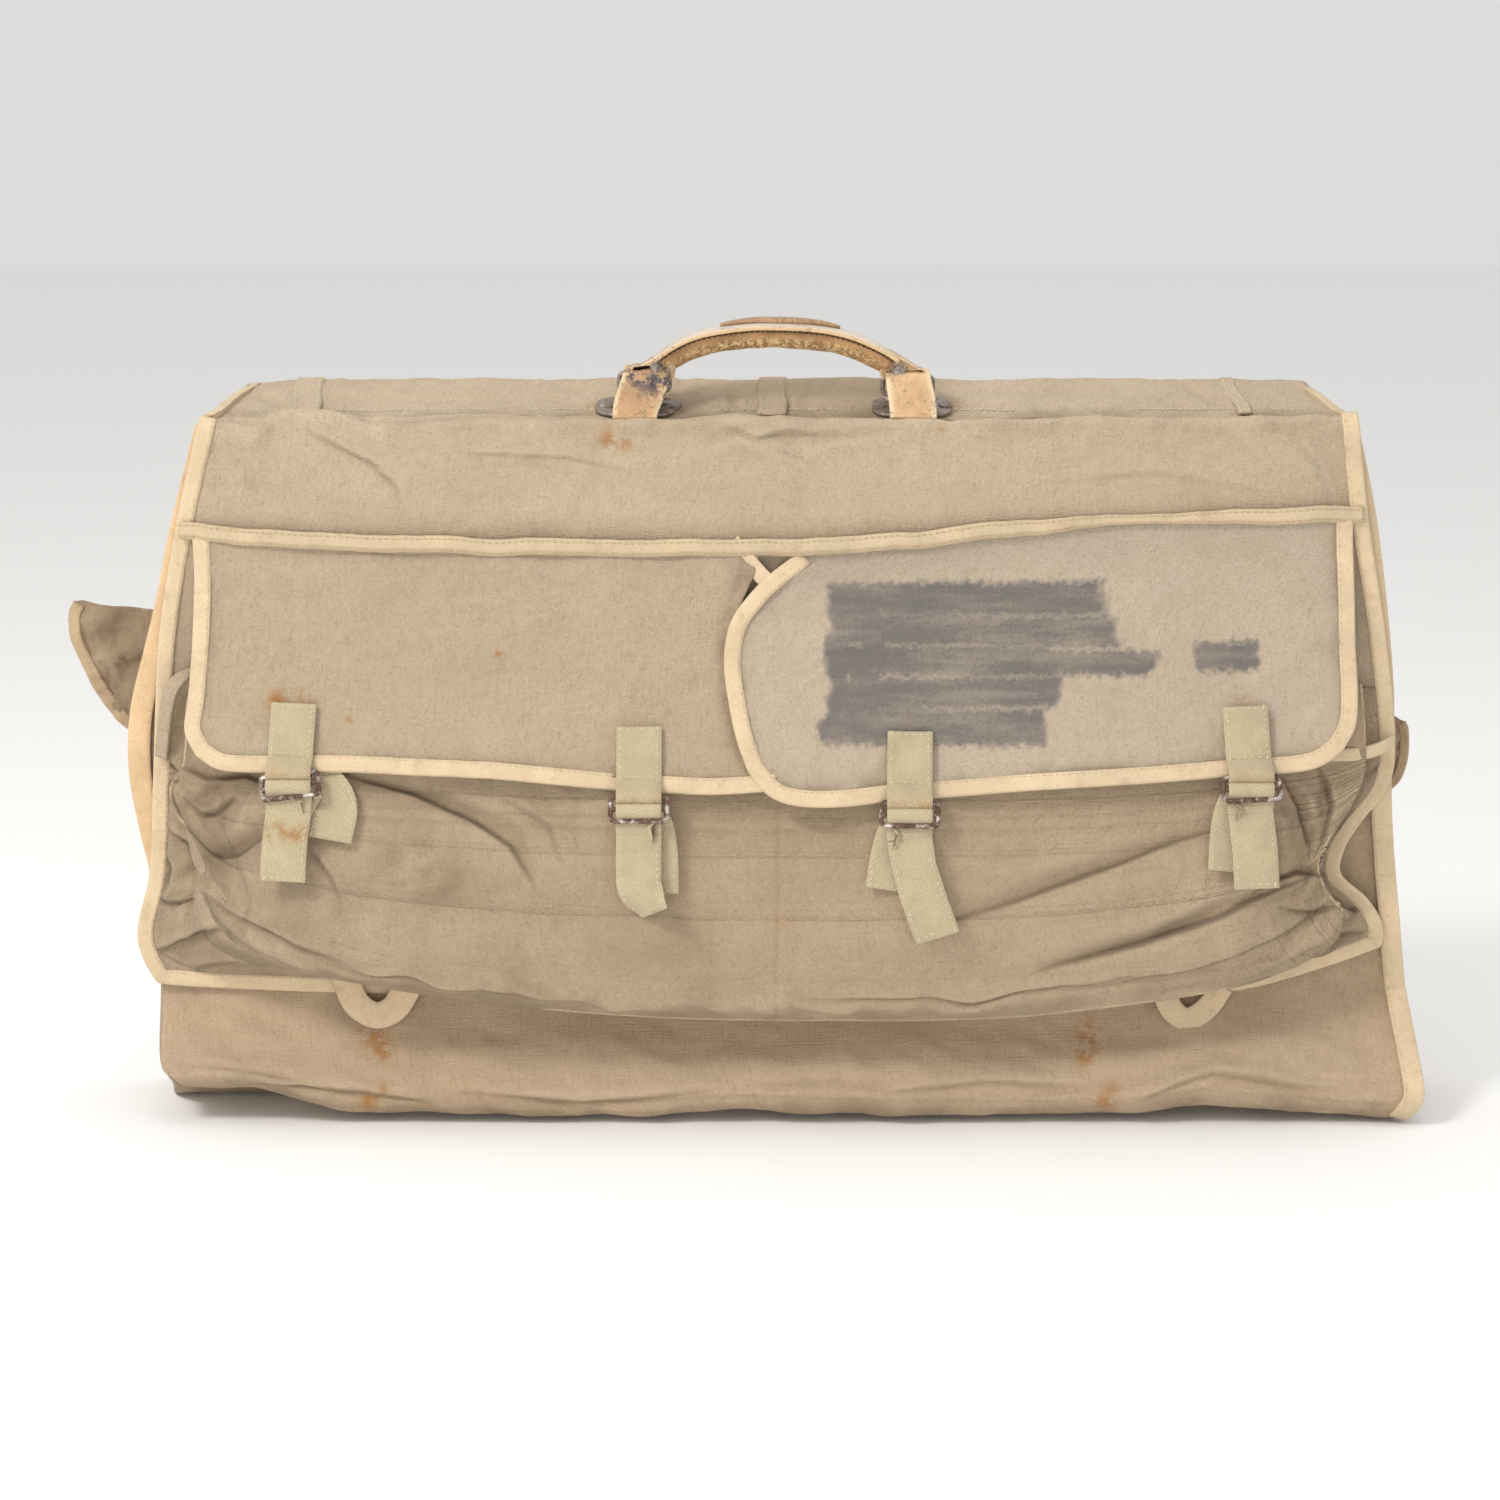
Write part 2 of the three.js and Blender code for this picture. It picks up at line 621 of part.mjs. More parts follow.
// Three-bar buckle drawn hanging from its top bar at the group's origin.
function buckle() {
  const { width, wire, gap } = BUCKLE;
  const inner = width / 2 - wire;
  const height = 3 * wire + 2 * gap;
  const window = (index) => {
    const top = -wire / 2 - index * (gap + wire);
    return rectangle(-inner, inner, top - gap, top);
  };
  const outline = roundedRectangle(0, wire / 2 - height / 2, width, height, 2, 2);
  return prismY(outline, -wire / 2, wire / 2, [window(0), window(1)]);
}

// ---------- assembly ----------
const group = new THREE.Group();

function add(name, geometry, material, parent = group) {
  const mesh = new THREE.Mesh(geometry, material);
  mesh.name = name;
  parent.add(mesh);
  return mesh;
}

const SIDES = [['left', -1], ['right', 1]];

add('rear_panel', rearPanel(), canvas());
add('base_gusset', baseGusset(), canvas());
add('lower_retainer', lowerRetainer(), canvas());
add('rear_binding', rearBinding(), tape());
add('hanger_bracket', hangerBracket(), steel());
add('hanging_hook', hangingHook(), steel());
add('garment_strap', garmentStrap(), webbing());

group.add(spineFrame);
add('spine_panel', spinePanel(), canvas(), spineFrame);
add('spine_board', spineBoard(), board(), spineFrame);

add('handle_grip', gripBand(-9, -1.3, GRIP_HALF, GRIP_WIDTH), leather());
add('handle_core', gripBand(-1, 1, GRIP_HALF, 14), steel());
add('handle_top_strip', gripBand(1.3, 7.5, GRIP_HALF, GRIP_WIDTH - 2), leather());

add('front_panel', frontPanel(), canvas());
add('front_binding', frontBinding(), tape());
add('waist_tape', waistTape(), tape());
add('pocket_front', pocketFront(), canvas());
add('pocket_bottom_gusset', pocketBottomGusset(), canvas());

for (const [label, side] of SIDES) {
  add(`rear_gusset_${label}`, rearGusset(side), canvas());
  add(`side_wing_${label}`, sideWing(side), canvas());
  add(`handle_plate_${label}`, handlePlate(side), steel(), spineFrame);
  add(`rivet_plate_${label}`, rivetPlate(side), steel(), spineFrame);
  add(`leather_loop_${label}`, leatherLoop(side), paleLeather(), spineFrame);
  add(`handle_ring_${label}`, handleRing(side), steel());
  add(`handle_boot_${label}`, handleBoot(side), leather());
  add(`boot_rivet_${label}`, bootRivet(side), steel());
  add(`pocket_gusset_${label}`, pocketSideGusset(side), canvas());
  add(`tape_loop_${label}`, tapeLoop(side), tape());
  add(`flap_${label}`, flap(side), canvas());
  add(`flap_binding_${label}`, flapBinding(side), tape());
}

BUCKLE_X.forEach((x, index) => {
  const number = index + 1;
  add(`pocket_strap_${number}`, pocketStrap(index), webbing());
  add(`strap_tail_${number}`, strapTail(index), webbing());
  add(`buckle_tab_${number}`, buckleTab(index), webbing());
  const frame = add(`buckle_${number}`, buckle(), rustySteel());
  const { y, z } = bucklePivot(index);
  frame.position.set(x, y, z);
  frame.rotation.x = -BUCKLE_TILT;
});

export default group;
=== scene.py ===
"""Looks for a folding canvas garment bag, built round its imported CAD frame.

Lengths are millimetres in the code below and become metres when a mesh is made.
+Z is up and the pocket side faces -Y, as in the CAD frame.
"""

import json
import math

import bmesh
import bpy
import numpy as np
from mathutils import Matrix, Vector


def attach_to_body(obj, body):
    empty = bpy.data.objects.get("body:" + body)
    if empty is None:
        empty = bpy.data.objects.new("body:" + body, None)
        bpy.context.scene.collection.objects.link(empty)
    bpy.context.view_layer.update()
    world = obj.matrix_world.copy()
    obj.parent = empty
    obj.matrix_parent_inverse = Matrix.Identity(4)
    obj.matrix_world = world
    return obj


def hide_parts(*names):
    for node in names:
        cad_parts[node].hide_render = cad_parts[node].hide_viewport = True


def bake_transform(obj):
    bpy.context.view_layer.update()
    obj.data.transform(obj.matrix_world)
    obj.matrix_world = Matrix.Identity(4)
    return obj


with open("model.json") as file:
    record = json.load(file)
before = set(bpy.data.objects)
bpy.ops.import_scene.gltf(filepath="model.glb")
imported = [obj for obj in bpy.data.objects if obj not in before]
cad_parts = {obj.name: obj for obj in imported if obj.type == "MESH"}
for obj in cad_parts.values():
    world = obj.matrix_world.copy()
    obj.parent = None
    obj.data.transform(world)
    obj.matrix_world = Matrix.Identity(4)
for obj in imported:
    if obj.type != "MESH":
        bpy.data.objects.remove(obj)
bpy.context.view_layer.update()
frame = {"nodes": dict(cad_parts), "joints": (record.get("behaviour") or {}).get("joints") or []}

MM = 0.001
SEED = 11

# ---------- sizes ----------
BASE_HALF_WIDTH = 355.0
TOP_HALF_WIDTH = 321.0
BARREL_START = 150.0
BARREL_TOP = 405.0
CANVAS = 1.6
TAPE_WIDTH = 9.5
WEB = 2.0
WEB_WIDTH = 25.4
REAR_Y = 50.0
SPINE_REAR = (46.5, 416.0)
SPINE_FRONT = (-9.5, 401.0)
BUCKLE_X = [-273.0, -77.5, 73.5, 264.0]
LOOP_X = 76.0

JOINTS = {joint["name"]: joint for joint in frame["joints"]}


def joint_place(name):
    """A hinge's place in millimetres."""
    return np.array(JOINTS[name]["pos_m"]) / MM


def side_name(side):
    return "left" if side < 0 else "right"


# ---------- curves and fields ----------
def arc_length(line):
    """How far along a polyline each of its points is."""
    return np.concatenate([[0], np.cumsum(np.linalg.norm(np.diff(line, axis=0), axis=1))])


def resample(line, count):
    """Points evenly spaced along a polyline."""
    line = np.asarray(line, float)
    along = arc_length(line)
    at = np.linspace(0, along[-1], count)
    return np.stack([np.interp(at, along, line[:, k]) for k in range(line.shape[1])], axis=1)


def curve(points, count, per_span=16):
    """A smooth curve through the points (Catmull-Rom), evenly sampled."""
    p = np.asarray(points, float)
    padded = np.vstack([2 * p[0] - p[1], p, 2 * p[-1] - p[-2]])
    t = np.linspace(0, 1, per_span, endpoint=False)[:, None]
    spans = []
    for i in range(len(p) - 1):
        a, b, c, d = padded[i : i + 4]
        linear = (c - a) * t
        square = (2 * a - 5 * b + 4 * c - d) * t**2
        cube = (3 * b - a - 3 * c + d) * t**3
        spans.append(0.5 * (2 * b + linear + square + cube))
    spans.append(p[-1:])
    return resample(np.vstack(spans), count)


def soft_interp(x, points):
    """Smooth interpolation of a table of (x, value) pairs."""
    p = np.asarray(points, float)
    fine = curve(p, 1600, 64)
    order = np.argsort(fine[:, 0])
    return np.interp(x, fine[order, 0], fine[order, 1])


def ease(low, high, value):
    """0 at low and 1 at high, smooth between and level beyond."""
    t = np.clip((value - low) / (high - low), 0, 1)
    return t * t * (3 - 2 * t)


def bell(value, centre, width):
    """1 at the centre, dying away on both sides."""
    return np.exp(-(((value - centre) / width) ** 2))


def half_width(z):
    """Half the back's width: straight low down, then drawn in towards the top."""
    lean = np.clip((z - BARREL_START) / (BARREL_TOP - BARREL_START), 0, None)
    return BASE_HALF_WIDTH - (BASE_HALF_WIDTH - TOP_HALF_WIDTH) * lean * lean


def waves(a, b, size, seed, stretch=1.0, octaves=3):
    """Smooth seeded unevenness from about -1 to 1; size is its wavelength."""
    rng = np.random.default_rng(SEED + seed)
    a, b = np.broadcast_arrays(np.asarray(a, float), np.asarray(b, float))
    total = np.zeros(a.shape)
    for octave in range(octaves):
        for _ in range(5):
            angle = rng.uniform(0, 2 * math.pi)
            pitch = 2 * math.pi / size * 2**octave * rng.uniform(0.7, 1.35)
            phase = rng.uniform(0, 2 * math.pi)
            along = math.cos(angle) * a + math.sin(angle) * b * stretch
            total += np.sin(pitch * along + phase) * 0.55**octave
    return total / 3.2


def crumple(a, b, size, seed, stretch=1.0):
    """Sharp-crested creases from about -1 to 1, like crushed cloth."""
    bend_a = a + 0.35 * size * waves(a, b, size * 1.7, seed + 50, stretch, 2)
    bend_b = b + 0.35 * size * waves(a, b, size * 1.7, seed + 60, stretch, 2)
    first = 1 - np.abs(waves(bend_a, bend_b, size, seed, stretch, 1)) * 2.2
    second = 1 - np.abs(waves(bend_a, bend_b, size * 0.55, seed + 5, stretch, 1)) * 2.2
    return 0.65 * first + 0.35 * second - 0.35


def along_line(a, b, points):
    """Distance from a polyline, the side of it (-1 or 1), and a strength that fades at its ends."""
    line = np.asarray(points, float)
    lengths = np.linalg.norm(np.diff(line, axis=0), axis=1)
    starts = arc_length(line)
    best = np.full(a.shape, 1e9)
    side = np.ones(a.shape)
    place = np.zeros(a.shape)
    for i, length in enumerate(lengths):
        d = (line[i + 1] - line[i]) / length
        da, db = a - line[i, 0], b - line[i, 1]
        t = np.clip(da * d[0] + db * d[1], 0, length)
        away = np.hypot(da - t * d[0], db - t * d[1])
        nearer = away < best
        best = np.where(nearer, away, best)
        side = np.where(nearer, np.sign(d[0] * db - d[1] * da), side)
        place = np.where(nearer, (starts[i] + t) / starts[-1], place)
    fade = np.sin(math.pi * np.clip(0.06 + 0.88 * place, 0, 1)) ** 0.7
    return best, side, fade


def fold(a, b, points, width, depth):
    """A crease along a polyline: a valley (or, with negative depth, a ridge) with soft shoulders."""
    away, _, fade = along_line(a, b, points)
    r = away / width
    return -depth * (1 - 0.9 * r * r) * np.exp(-r * r) * fade


def add_folds(height, a, b, lines):
    """Adds a list of creases (points, width, depth) to a field of heights."""
    for points, width, depth in lines:
        height += fold(a, b, points, width, depth)


def tucks(a, b, folds):
    """Height and painted shadow line of sharp folds: the cloth rolls up on a line's left and drops on its
    right.
    """
    height = np.zeros(a.shape)
    shadow = np.zeros(a.shape)
    for points, width, depth in folds:
        away, side, fade = along_line(a, b, points)
        signed = away * side
        roll = bell(away, 0, width) * ease(-0.3, 1.2, signed)
        drop = bell(away, 0, 0.7 * width) * ease(1.2, -0.3, signed)
        height += depth * (roll - 0.45 * drop) * fade
        line = bell(signed, -0.9 * np.sign(depth), 1.5)
        shadow = np.maximum(shadow, line * fade * min(1.0, abs(depth) / 3.5))
    return height, shadow


def settle(grid, growth, frames, cap, step=4):
    """How a slack sheet pinned round its border buckles: a cloth simulation on every step-th point."""
    coarse = grid[::step, ::step]
    rows, columns = coarse.shape[:2]
    trial = new_object("trial", coarse.reshape(-1, 3), grid_faces(rows, columns), None)
    at = np.arange(rows * columns).reshape(rows, columns)
    edges = (at[:2], at[-2:], at[:, :2], at[:, -2:])
    rim = np.unique(np.concatenate([edge.ravel() for edge in edges]))
    trial.vertex_groups.new(name="rim").add(rim.tolist(), 1.0, "REPLACE")
    sim = trial.modifiers.new("cloth", "CLOTH")
    sim.settings.vertex_group_mass = "rim"
    sim.settings.quality = 6
    sim.settings.mass = 0.35
    sim.settings.bending_stiffness = 4.0
    sim.settings.shrink_min = -growth
    sim.settings.effector_weights.gravity = 0.3
    sim.collision_settings.use_collision = False
    sim.point_cache.frame_start = 1
    sim.point_cache.frame_end = frames
    scene = bpy.context.scene
    for number in range(1, frames + 1):
        scene.frame_set(number)
    shape = trial.evaluated_get(bpy.context.evaluated_depsgraph_get()).to_mesh()
    found = np.zeros(rows * columns * 3)
    shape.vertices.foreach_get("co", found)
    bpy.data.objects.remove(trial)
    scene.frame_set(1)
    move = found.reshape(rows, columns, 3) / MM - coarse
    size = np.linalg.norm(move, axis=2, keepdims=True)
    move = move * np.minimum(1.0, cap / np.maximum(size, 1e-6))
    fine_rows = np.arange(grid.shape[0]) / step
    fine_columns = np.arange(grid.shape[1]) / step
    result = np.zeros(grid.shape)
    for k in range(3):
        upright = [np.interp(fine_rows, np.arange(rows), move[:, j, k]) for j in range(columns)]
        tall = np.stack(upright, axis=1)
        wide = np.stack([np.interp(fine_columns, np.arange(columns), line) for line in tall])
        result[..., k] = blur(wide, 3)
    return result


def blur(h, steps):
    """Moving average over a grid, twice."""
    for axis in (0, 1, 0, 1):
        padded = np.pad(h, [(steps, steps) if k == axis else (0, 0) for k in (0, 1)], mode="edge")
        total = np.cumsum(padded, axis=axis)
        first = np.take(total, range(0, h.shape[axis]), axis=axis)
        last = np.take(total, range(2 * steps, 2 * steps + h.shape[axis]), axis=axis)
        h = (last - first) / (2 * steps)
    return h


def normals_of(grid):
    """Unit normals of a grid of points."""
    du = np.gradient(grid, axis=1)
    dv = np.gradient(grid, axis=0)
    n = np.cross(du, dv)
    return n / np.maximum(np.linalg.norm(n, axis=2, keepdims=True), 1e-9)


def outward(grid, facing):
    """Unit normals turned to the side that faces the given direction on the whole."""
    n = normals_of(grid)
    return n if (n * np.array(facing)).sum() > 0 else -n


def pushed(grid, facing, height):
    """The grid moved out along its normals by a field of heights."""
    return grid + outward(grid, facing) * height[..., None]


# ---------- mesh makers ----------
def new_object(name, points, faces, material, smooth=True):
    mesh = bpy.data.meshes.new(name)
    mesh.from_pydata((np.asarray(points) * MM).tolist(), [], [tuple(f) for f in faces])
    mesh.polygons.foreach_set("use_smooth", [smooth] * len(mesh.polygons))
    if material is not None:
        mesh.materials.append(material)
    obj = bpy.data.objects.new(name, mesh)
    bpy.context.scene.collection.objects.link(obj)
    return obj


def store(obj, name, values):
    values = np.asarray(values, np.float32)
    kind = "FLOAT" if values.ndim == 1 else "FLOAT_VECTOR"
    attribute = obj.data.attributes.new(name, kind, "POINT")
    attribute.data.foreach_set("value" if values.ndim == 1 else "vector", values.ravel())


def outward_faces(obj):
    shape = bmesh.new()
    shape.from_mesh(obj.data)
    bmesh.ops.recalc_face_normals(shape, faces=shape.faces)
    shape.to_mesh(obj.data)
    shape.free()


def grid_faces(rows, columns):
    at = np.arange(rows * columns).reshape(rows, columns)
    return np.stack([at[:-1, :-1], at[:-1, 1:], at[1:, 1:], at[1:, :-1]], axis=-1).reshape(-1, 4)


def cloth(name, grid, material, facing, thickness=CANVAS, marks=None, relief=None):
    """A sheet of cloth; grid is its outer face. marks are named 0 to 1 fields for the material."""
    rows, columns = grid.shape[:2]
    faces = grid_faces(rows, columns)
    if (normals_of(grid) * np.array(facing)).sum() < 0:
        faces = faces[:, ::-1]
    obj = new_object(name, grid.reshape(-1, 3), faces, material)
    across = np.cumsum(np.linalg.norm(np.diff(grid, axis=1), axis=2), axis=1)
    down = np.cumsum(np.linalg.norm(np.diff(grid, axis=0), axis=2), axis=0)
    u = np.concatenate([np.zeros((rows, 1)), across], 1)
    v = np.concatenate([np.zeros((1, columns)), down], 0)
    flat = np.stack([u, v, np.zeros_like(u)], axis=-1) * MM
    store(obj, "flat", flat.reshape(-1, 3))
    store(obj, "rest", (grid * MM).reshape(-1, 3))
    # relief holds the sheet's small valleys and ridges, which the canvas paints with shade and highlight.
    if relief is not None:
        height = relief - blur(relief, 3)
        store(obj, "relief", np.clip(height / 1.1, -1, 1).ravel())
    for mark, values in (marks or {}).items():
        store(obj, mark, np.broadcast_to(values, (rows, columns)).ravel())
    solid = obj.modifiers.new("thickness", "SOLIDIFY")
    solid.thickness = thickness * MM
    solid.offset = -1
    return obj


def sweep(path, across, normal, section):
    """Points and faces of a closed section carried along a path; across and normal are unit vectors."""
    path, across, normal = (np.asarray(a, float) for a in (path, across, normal))
    section = np.asarray(section, float)
    if section.ndim == 2:
        section = np.broadcast_to(section, (len(path), *section.shape))
    count = section.shape[1]
    points = path[:, None] + section[..., :1] * across[:, None] + section[..., 1:2] * normal[:, None]
    faces = []
    for i in range(len(path) - 1):
        for k in range(count):
            a, b = i * count + k, i * count + (k + 1) % count
            faces.append((a, b, b + count, a + count))
    faces.append(tuple(range(count))[::-1])
    faces.append(tuple((len(path) - 1) * count + k for k in range(count)))
    return points.reshape(-1, 3), faces


def swept(name, path, across, normal, section, material):
    """A closed object with one section carried along a path, and its points."""
    points, faces = sweep(path, across, normal, section)
    obj = new_object(name, points, faces, material)
    outward_faces(obj)
    return obj, points


def stretched_sections(section, wide, thick):
    """One section for each place on a path, scaled across and in thickness."""
    return section[None] * np.stack([wide, thick], 1)[:, None]


def flat_section(width, thickness, rounding=0.35):
    """A strap's section: flat with softened edges, from -width/2 to width/2 and centred in thickness."""
    w, t = width / 2, thickness / 2
    inner = w - thickness * rounding
    middle = np.linspace(-inner, inner, 7)
    lower = [(x, -t) for x in middle]
    upper = [(x, t) for x in middle[::-1]]
    return np.array([(-w, -t * 0.3), *lower, (w, -t * 0.3), (w, t * 0.3), *upper, (-w, t * 0.3)])


def unit(v):
    v = np.asarray(v, float)
    return v / np.maximum(np.linalg.norm(v, axis=-1, keepdims=True), 1e-9)


def strap(name, path, across, material, width=WEB_WIDTH, thickness=WEB, section=None):
    """A flat strap whose middle follows a path; its normal is worked out from across."""
    path = np.asarray(path, float)
    across = unit(np.broadcast_to(across, path.shape))
    along = unit(np.gradient(path, axis=0))
    normal = unit(np.cross(across, along))
    across = unit(np.cross(along, normal))
    shape = flat_section(width, thickness) if section is None else section
    obj, points = swept(name, path, across, normal, shape, material)
    offsets = shape[:, 0] if shape.ndim == 2 else shape[0, :, 0]
    count = len(offsets)
    length = np.repeat(arc_length(path), count)
    flat = np.stack([np.tile(offsets, len(path)), length, np.zeros(len(path) * count)], 1)
    store(obj, "flat", flat * MM)
    store(obj, "rest", points * MM)
    return obj, across, normal


def edge_tape(name, path, inward, normal, material, width=TAPE_WIDTH, thickness=3.2, overhang=1.2):
    """Tape folded over a cloth's edge. path is the edge, inward points into the cloth."""
    path = np.asarray(path, float)
    inward = unit(np.broadcast_to(inward, path.shape))
    normal = unit(np.broadcast_to(normal, path.shape))
    w, t = width, thickness / 2
    arc = [(-overhang * math.cos(a), t * math.sin(a)) for a in np.linspace(-math.pi / 2, math.pi / 2, 7)]
    face = [(x, t) for x in np.linspace(w * 0.2, w * 0.86, 4)]
    back = [(x, -t) for x in np.linspace(w * 0.86, w * 0.2, 4)]
    section = np.array([*arc, *face, (w - overhang, t * 0.6), (w - overhang, -t * 0.6), *back])
    length = arc_length(path)
    pucker = 1 + 0.05 * np.sin(length * 2 * math.pi / 11) + 0.04 * np.sin(length * 2 * math.pi / 4.1 + 1)
    sections = stretched_sections(section, np.ones_like(pucker), pucker)
    obj, points = swept(name, path, inward, normal, sections, material)
    flat = np.stack([np.tile(section[:, 0], len(path)), np.repeat(length, len(section))], 1)
    store(obj, "flat", np.column_stack([flat, np.zeros(len(flat))]) * MM)
    store(obj, "rest", points * MM)
    return obj


def stitch_mesh(name, runs, material, pitch=3.6, length=2.6, radius=0.33, sink=0.05):
    """Rows of lockstitches as small spindles. runs is a list of (path, normal)."""
    rings = [(-0.5, 0.3), (-0.25, 1.0), (0.25, 1.0), (0.5, 0.3)]
    sides = 5
    all_points, all_faces = [], []
    rng = np.random.default_rng(SEED + len(name))
    for path, normal in runs:
        path = np.asarray(path, float)
        total = np.linalg.norm(np.diff(path, axis=0), axis=1).sum()
        count = max(2, int(total / pitch))
        place = resample(path, count)
        up = unit(resample(np.broadcast_to(normal, path.shape), count))
        along = unit(np.gradient(place, axis=0))
        side = unit(np.cross(along, up))
        for p, t, s, n in zip(place, along, side, up):
            swing = rng.normal(0, 0.06)
            t, s = t + s * swing, s - t * swing
            base = len(all_points)
            for share, r in rings:
                for k in range(sides):
                    a = 2 * math.pi * k / sides
                    out = math.sin(a) * radius * r * 0.8 - sink
                    offset = s * math.cos(a) * radius * r + n * out
                    all_points.append(p + t * share * length + offset)
            for ring in range(len(rings) - 1):
                for k in range(sides):
                    a = base + ring * sides + k
                    b = base + ring * sides + (k + 1) % sides
                    all_faces.append((a, b, b + sides, a + sides))
            all_faces.append(tuple(base + k for k in reversed(range(sides))))
            all_faces.append(tuple(base + (len(rings) - 1) * sides + k for k in range(sides)))
    obj = new_object(name, all_points, all_faces, material)
    outward_faces(obj)
    return obj


def round_section(radius, sides=10):
    angles = np.linspace(0, 2 * math.pi, sides, endpoint=False)
    return np.stack([np.cos(angles), np.sin(angles)], 1) * radius


def wire_ring(name, path, radius, material, sides=10):
    """A round wire along a closed flat path."""
    path = np.asarray(path, float)
    along = unit(np.roll(path, -1, axis=0) - np.roll(path, 1, axis=0))
    spread = path - path.mean(0)
    plane = np.linalg.svd(spread)[2][2]
    normal = np.broadcast_to(plane, path.shape)
    across = unit(np.cross(along, normal))
    points, faces = sweep(path, across, normal, round_section(radius, sides))
    faces = faces[:-2]
    last = (len(path) - 1) * sides
    faces += [(last + k, last + (k + 1) % sides, (k + 1) % sides, k) for k in range(sides)]
    obj = new_object(name, points, faces, material)
    outward_faces(obj)
    return obj


def rounded_loop(width, height, corner, steps=6):
    """Points [a, b] of a rounded rectangle round the origin."""
    points = []
    for quarter in range(4):
        sa = 1 if quarter in (0, 3) else -1
        sb = 1 if quarter < 2 else -1
        for k in range(steps + 1):
            angle = math.pi / 2 * (quarter + k / steps)
            a = sa * (width / 2 - corner) + corner * math.cos(angle)
            b = sb * (height / 2 - corner) + corner * math.sin(angle)
            points.append((a, b))
    return np.array(points)


def joined(name, objects):
    """One object from several."""
    bpy.ops.object.select_all(action="DESELECT")
    for obj in objects:
        obj.select_set(True)
    bpy.context.view_layer.objects.active = objects[0]
    bpy.ops.object.join()
    objects[0].name = name
    return objects[0]


# Where each flap starts to bend, below the waist tape: two ends of a line in x and z.
FLAP_LINES = {"left_flap": ((-327, 337.0), (-10, 327.5)), "right_flap": ((13, 328.0), (321, 337.5))}


def place(obj, body, slot, *nodes):
    """Attaches a piece to its body and hides the CAD nodes it replaces; a piece on a flap is left
    unattached, with its transform baked. The slot is not used.
    """
    if body in FLAP_LINES:
        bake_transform(obj)
    else:
        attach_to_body(obj, body)
    if nodes:
        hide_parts(*nodes)
    return obj


# ---------- materials ----------
class Shader:
    """A small builder for one material's nodes."""

    def __init__(self, name, roughness=0.9, **uniform):
        self.material = bpy.data.materials.new(name)
        self.material.use_nodes = True
        self.tree = self.material.node_tree
        self.surface = self.tree.nodes["Principled BSDF"]
        self.surface.inputs["Roughness"].default_value = roughness
        for key, value in uniform.items():
            self.surface.inputs[key.replace("_", " ")].default_value = value

    def node(self, kind, output=0, settings=None, **inputs):
        made = self.tree.nodes.new("ShaderNode" + kind)
        for key, value in (settings or {}).items():
            setattr(made, key, value)
        for key, value in inputs.items():
            numbered = key[0] == "i" and key[1:].isdigit()
            socket = made.inputs[int(key[1:]) if numbered else key.replace("_", " ")]
            if isinstance(value, bpy.types.NodeSocket):
                self.tree.links.new(value, socket)
            else:
                socket.default_value = value
        return made.outputs[output]

    def attribute(self, name, vector=False):
        return self.node("Attribute", 1 if vector else 2, {"attribute_name": name})

    def noise(self, scale, detail=3.0, vector=None, roughness=0.55, distortion=0.0):
        vector = self.place if vector is None else vector
        return self.node("TexNoise", 0, None, Vector=vector, Scale=scale, Detail=detail,
                         Roughness=roughness, Distortion=distortion)

    def math(self, operation, a, b=0.0, clamp=False):
        return self.node("Math", 0, {"operation": operation, "use_clamp": clamp}, i0=a, i1=b)

    def times(self, a, b):
        return self.math("MULTIPLY", a, b)

    def parts(self, vector):
        """A vector's x, y and z."""
        made = self.tree.nodes.new("ShaderNodeSeparateXYZ")
        self.tree.links.new(vector, made.inputs[0])
        return made.outputs

    def ramp(self, value, low, high, to_low=0.0, to_high=1.0):
        return self.node("MapRange", 0, {"interpolation_type": "SMOOTHSTEP"}, i0=value, i1=low, i2=high,
                         i3=to_low, i4=to_high)

    def mix(self, factor, a, b, blend="MIX"):
        made = self.tree.nodes.new("ShaderNodeMix")
        made.data_type = "RGBA"
        made.blend_type = blend
        for socket, value in zip((made.inputs[0], made.inputs[6], made.inputs[7]), (factor, a, b)):
            if isinstance(value, bpy.types.NodeSocket):
                self.tree.links.new(value, socket)
            elif socket.type == "RGBA":
                socket.default_value = (*value, 1.0)
            else:
                socket.default_value = value
        return made.outputs[2]

    def scaled(self, vector, scale):
        return self.node("VectorMath", 0, {"operation": "MULTIPLY"}, i0=vector, i1=scale)

    def colour(self, value):
        self.tree.links.new(value, self.surface.inputs["Base Color"])

    def roughness(self, value):
        self.tree.links.new(value, self.surface.inputs["Roughness"])

    def bump(self, *layers):
        """layers are (height, distance in metres); each lies on the one before."""
        normal = None
        for height, distance in layers:
            inputs = {"Height": height, "Distance": distance, "Strength": 1.0}
            if normal is not None:
                inputs["Normal"] = normal
            normal = self.node("Bump", 0, None, **inputs)
        self.tree.links.new(normal, self.surface.inputs["Normal"])


def weave(shader, pitch, flat):
    """Height of a plain weave with that yarn spacing in metres."""
    parts = shader.parts(flat)
    turn = 2 * math.pi / pitch
    across = shader.math("SINE", shader.times(parts[0], turn))
    along = shader.math("SINE", shader.times(parts[1], turn))
    return shader.times(across, along)


def shade(colour, factor):
    """A colour scaled by one factor or by one for each part, with no part over 1."""
    factors = factor if isinstance(factor, tuple) else (factor,) * 3
    return tuple(min(1.0, c * k) for c, k in zip(colour, factors))


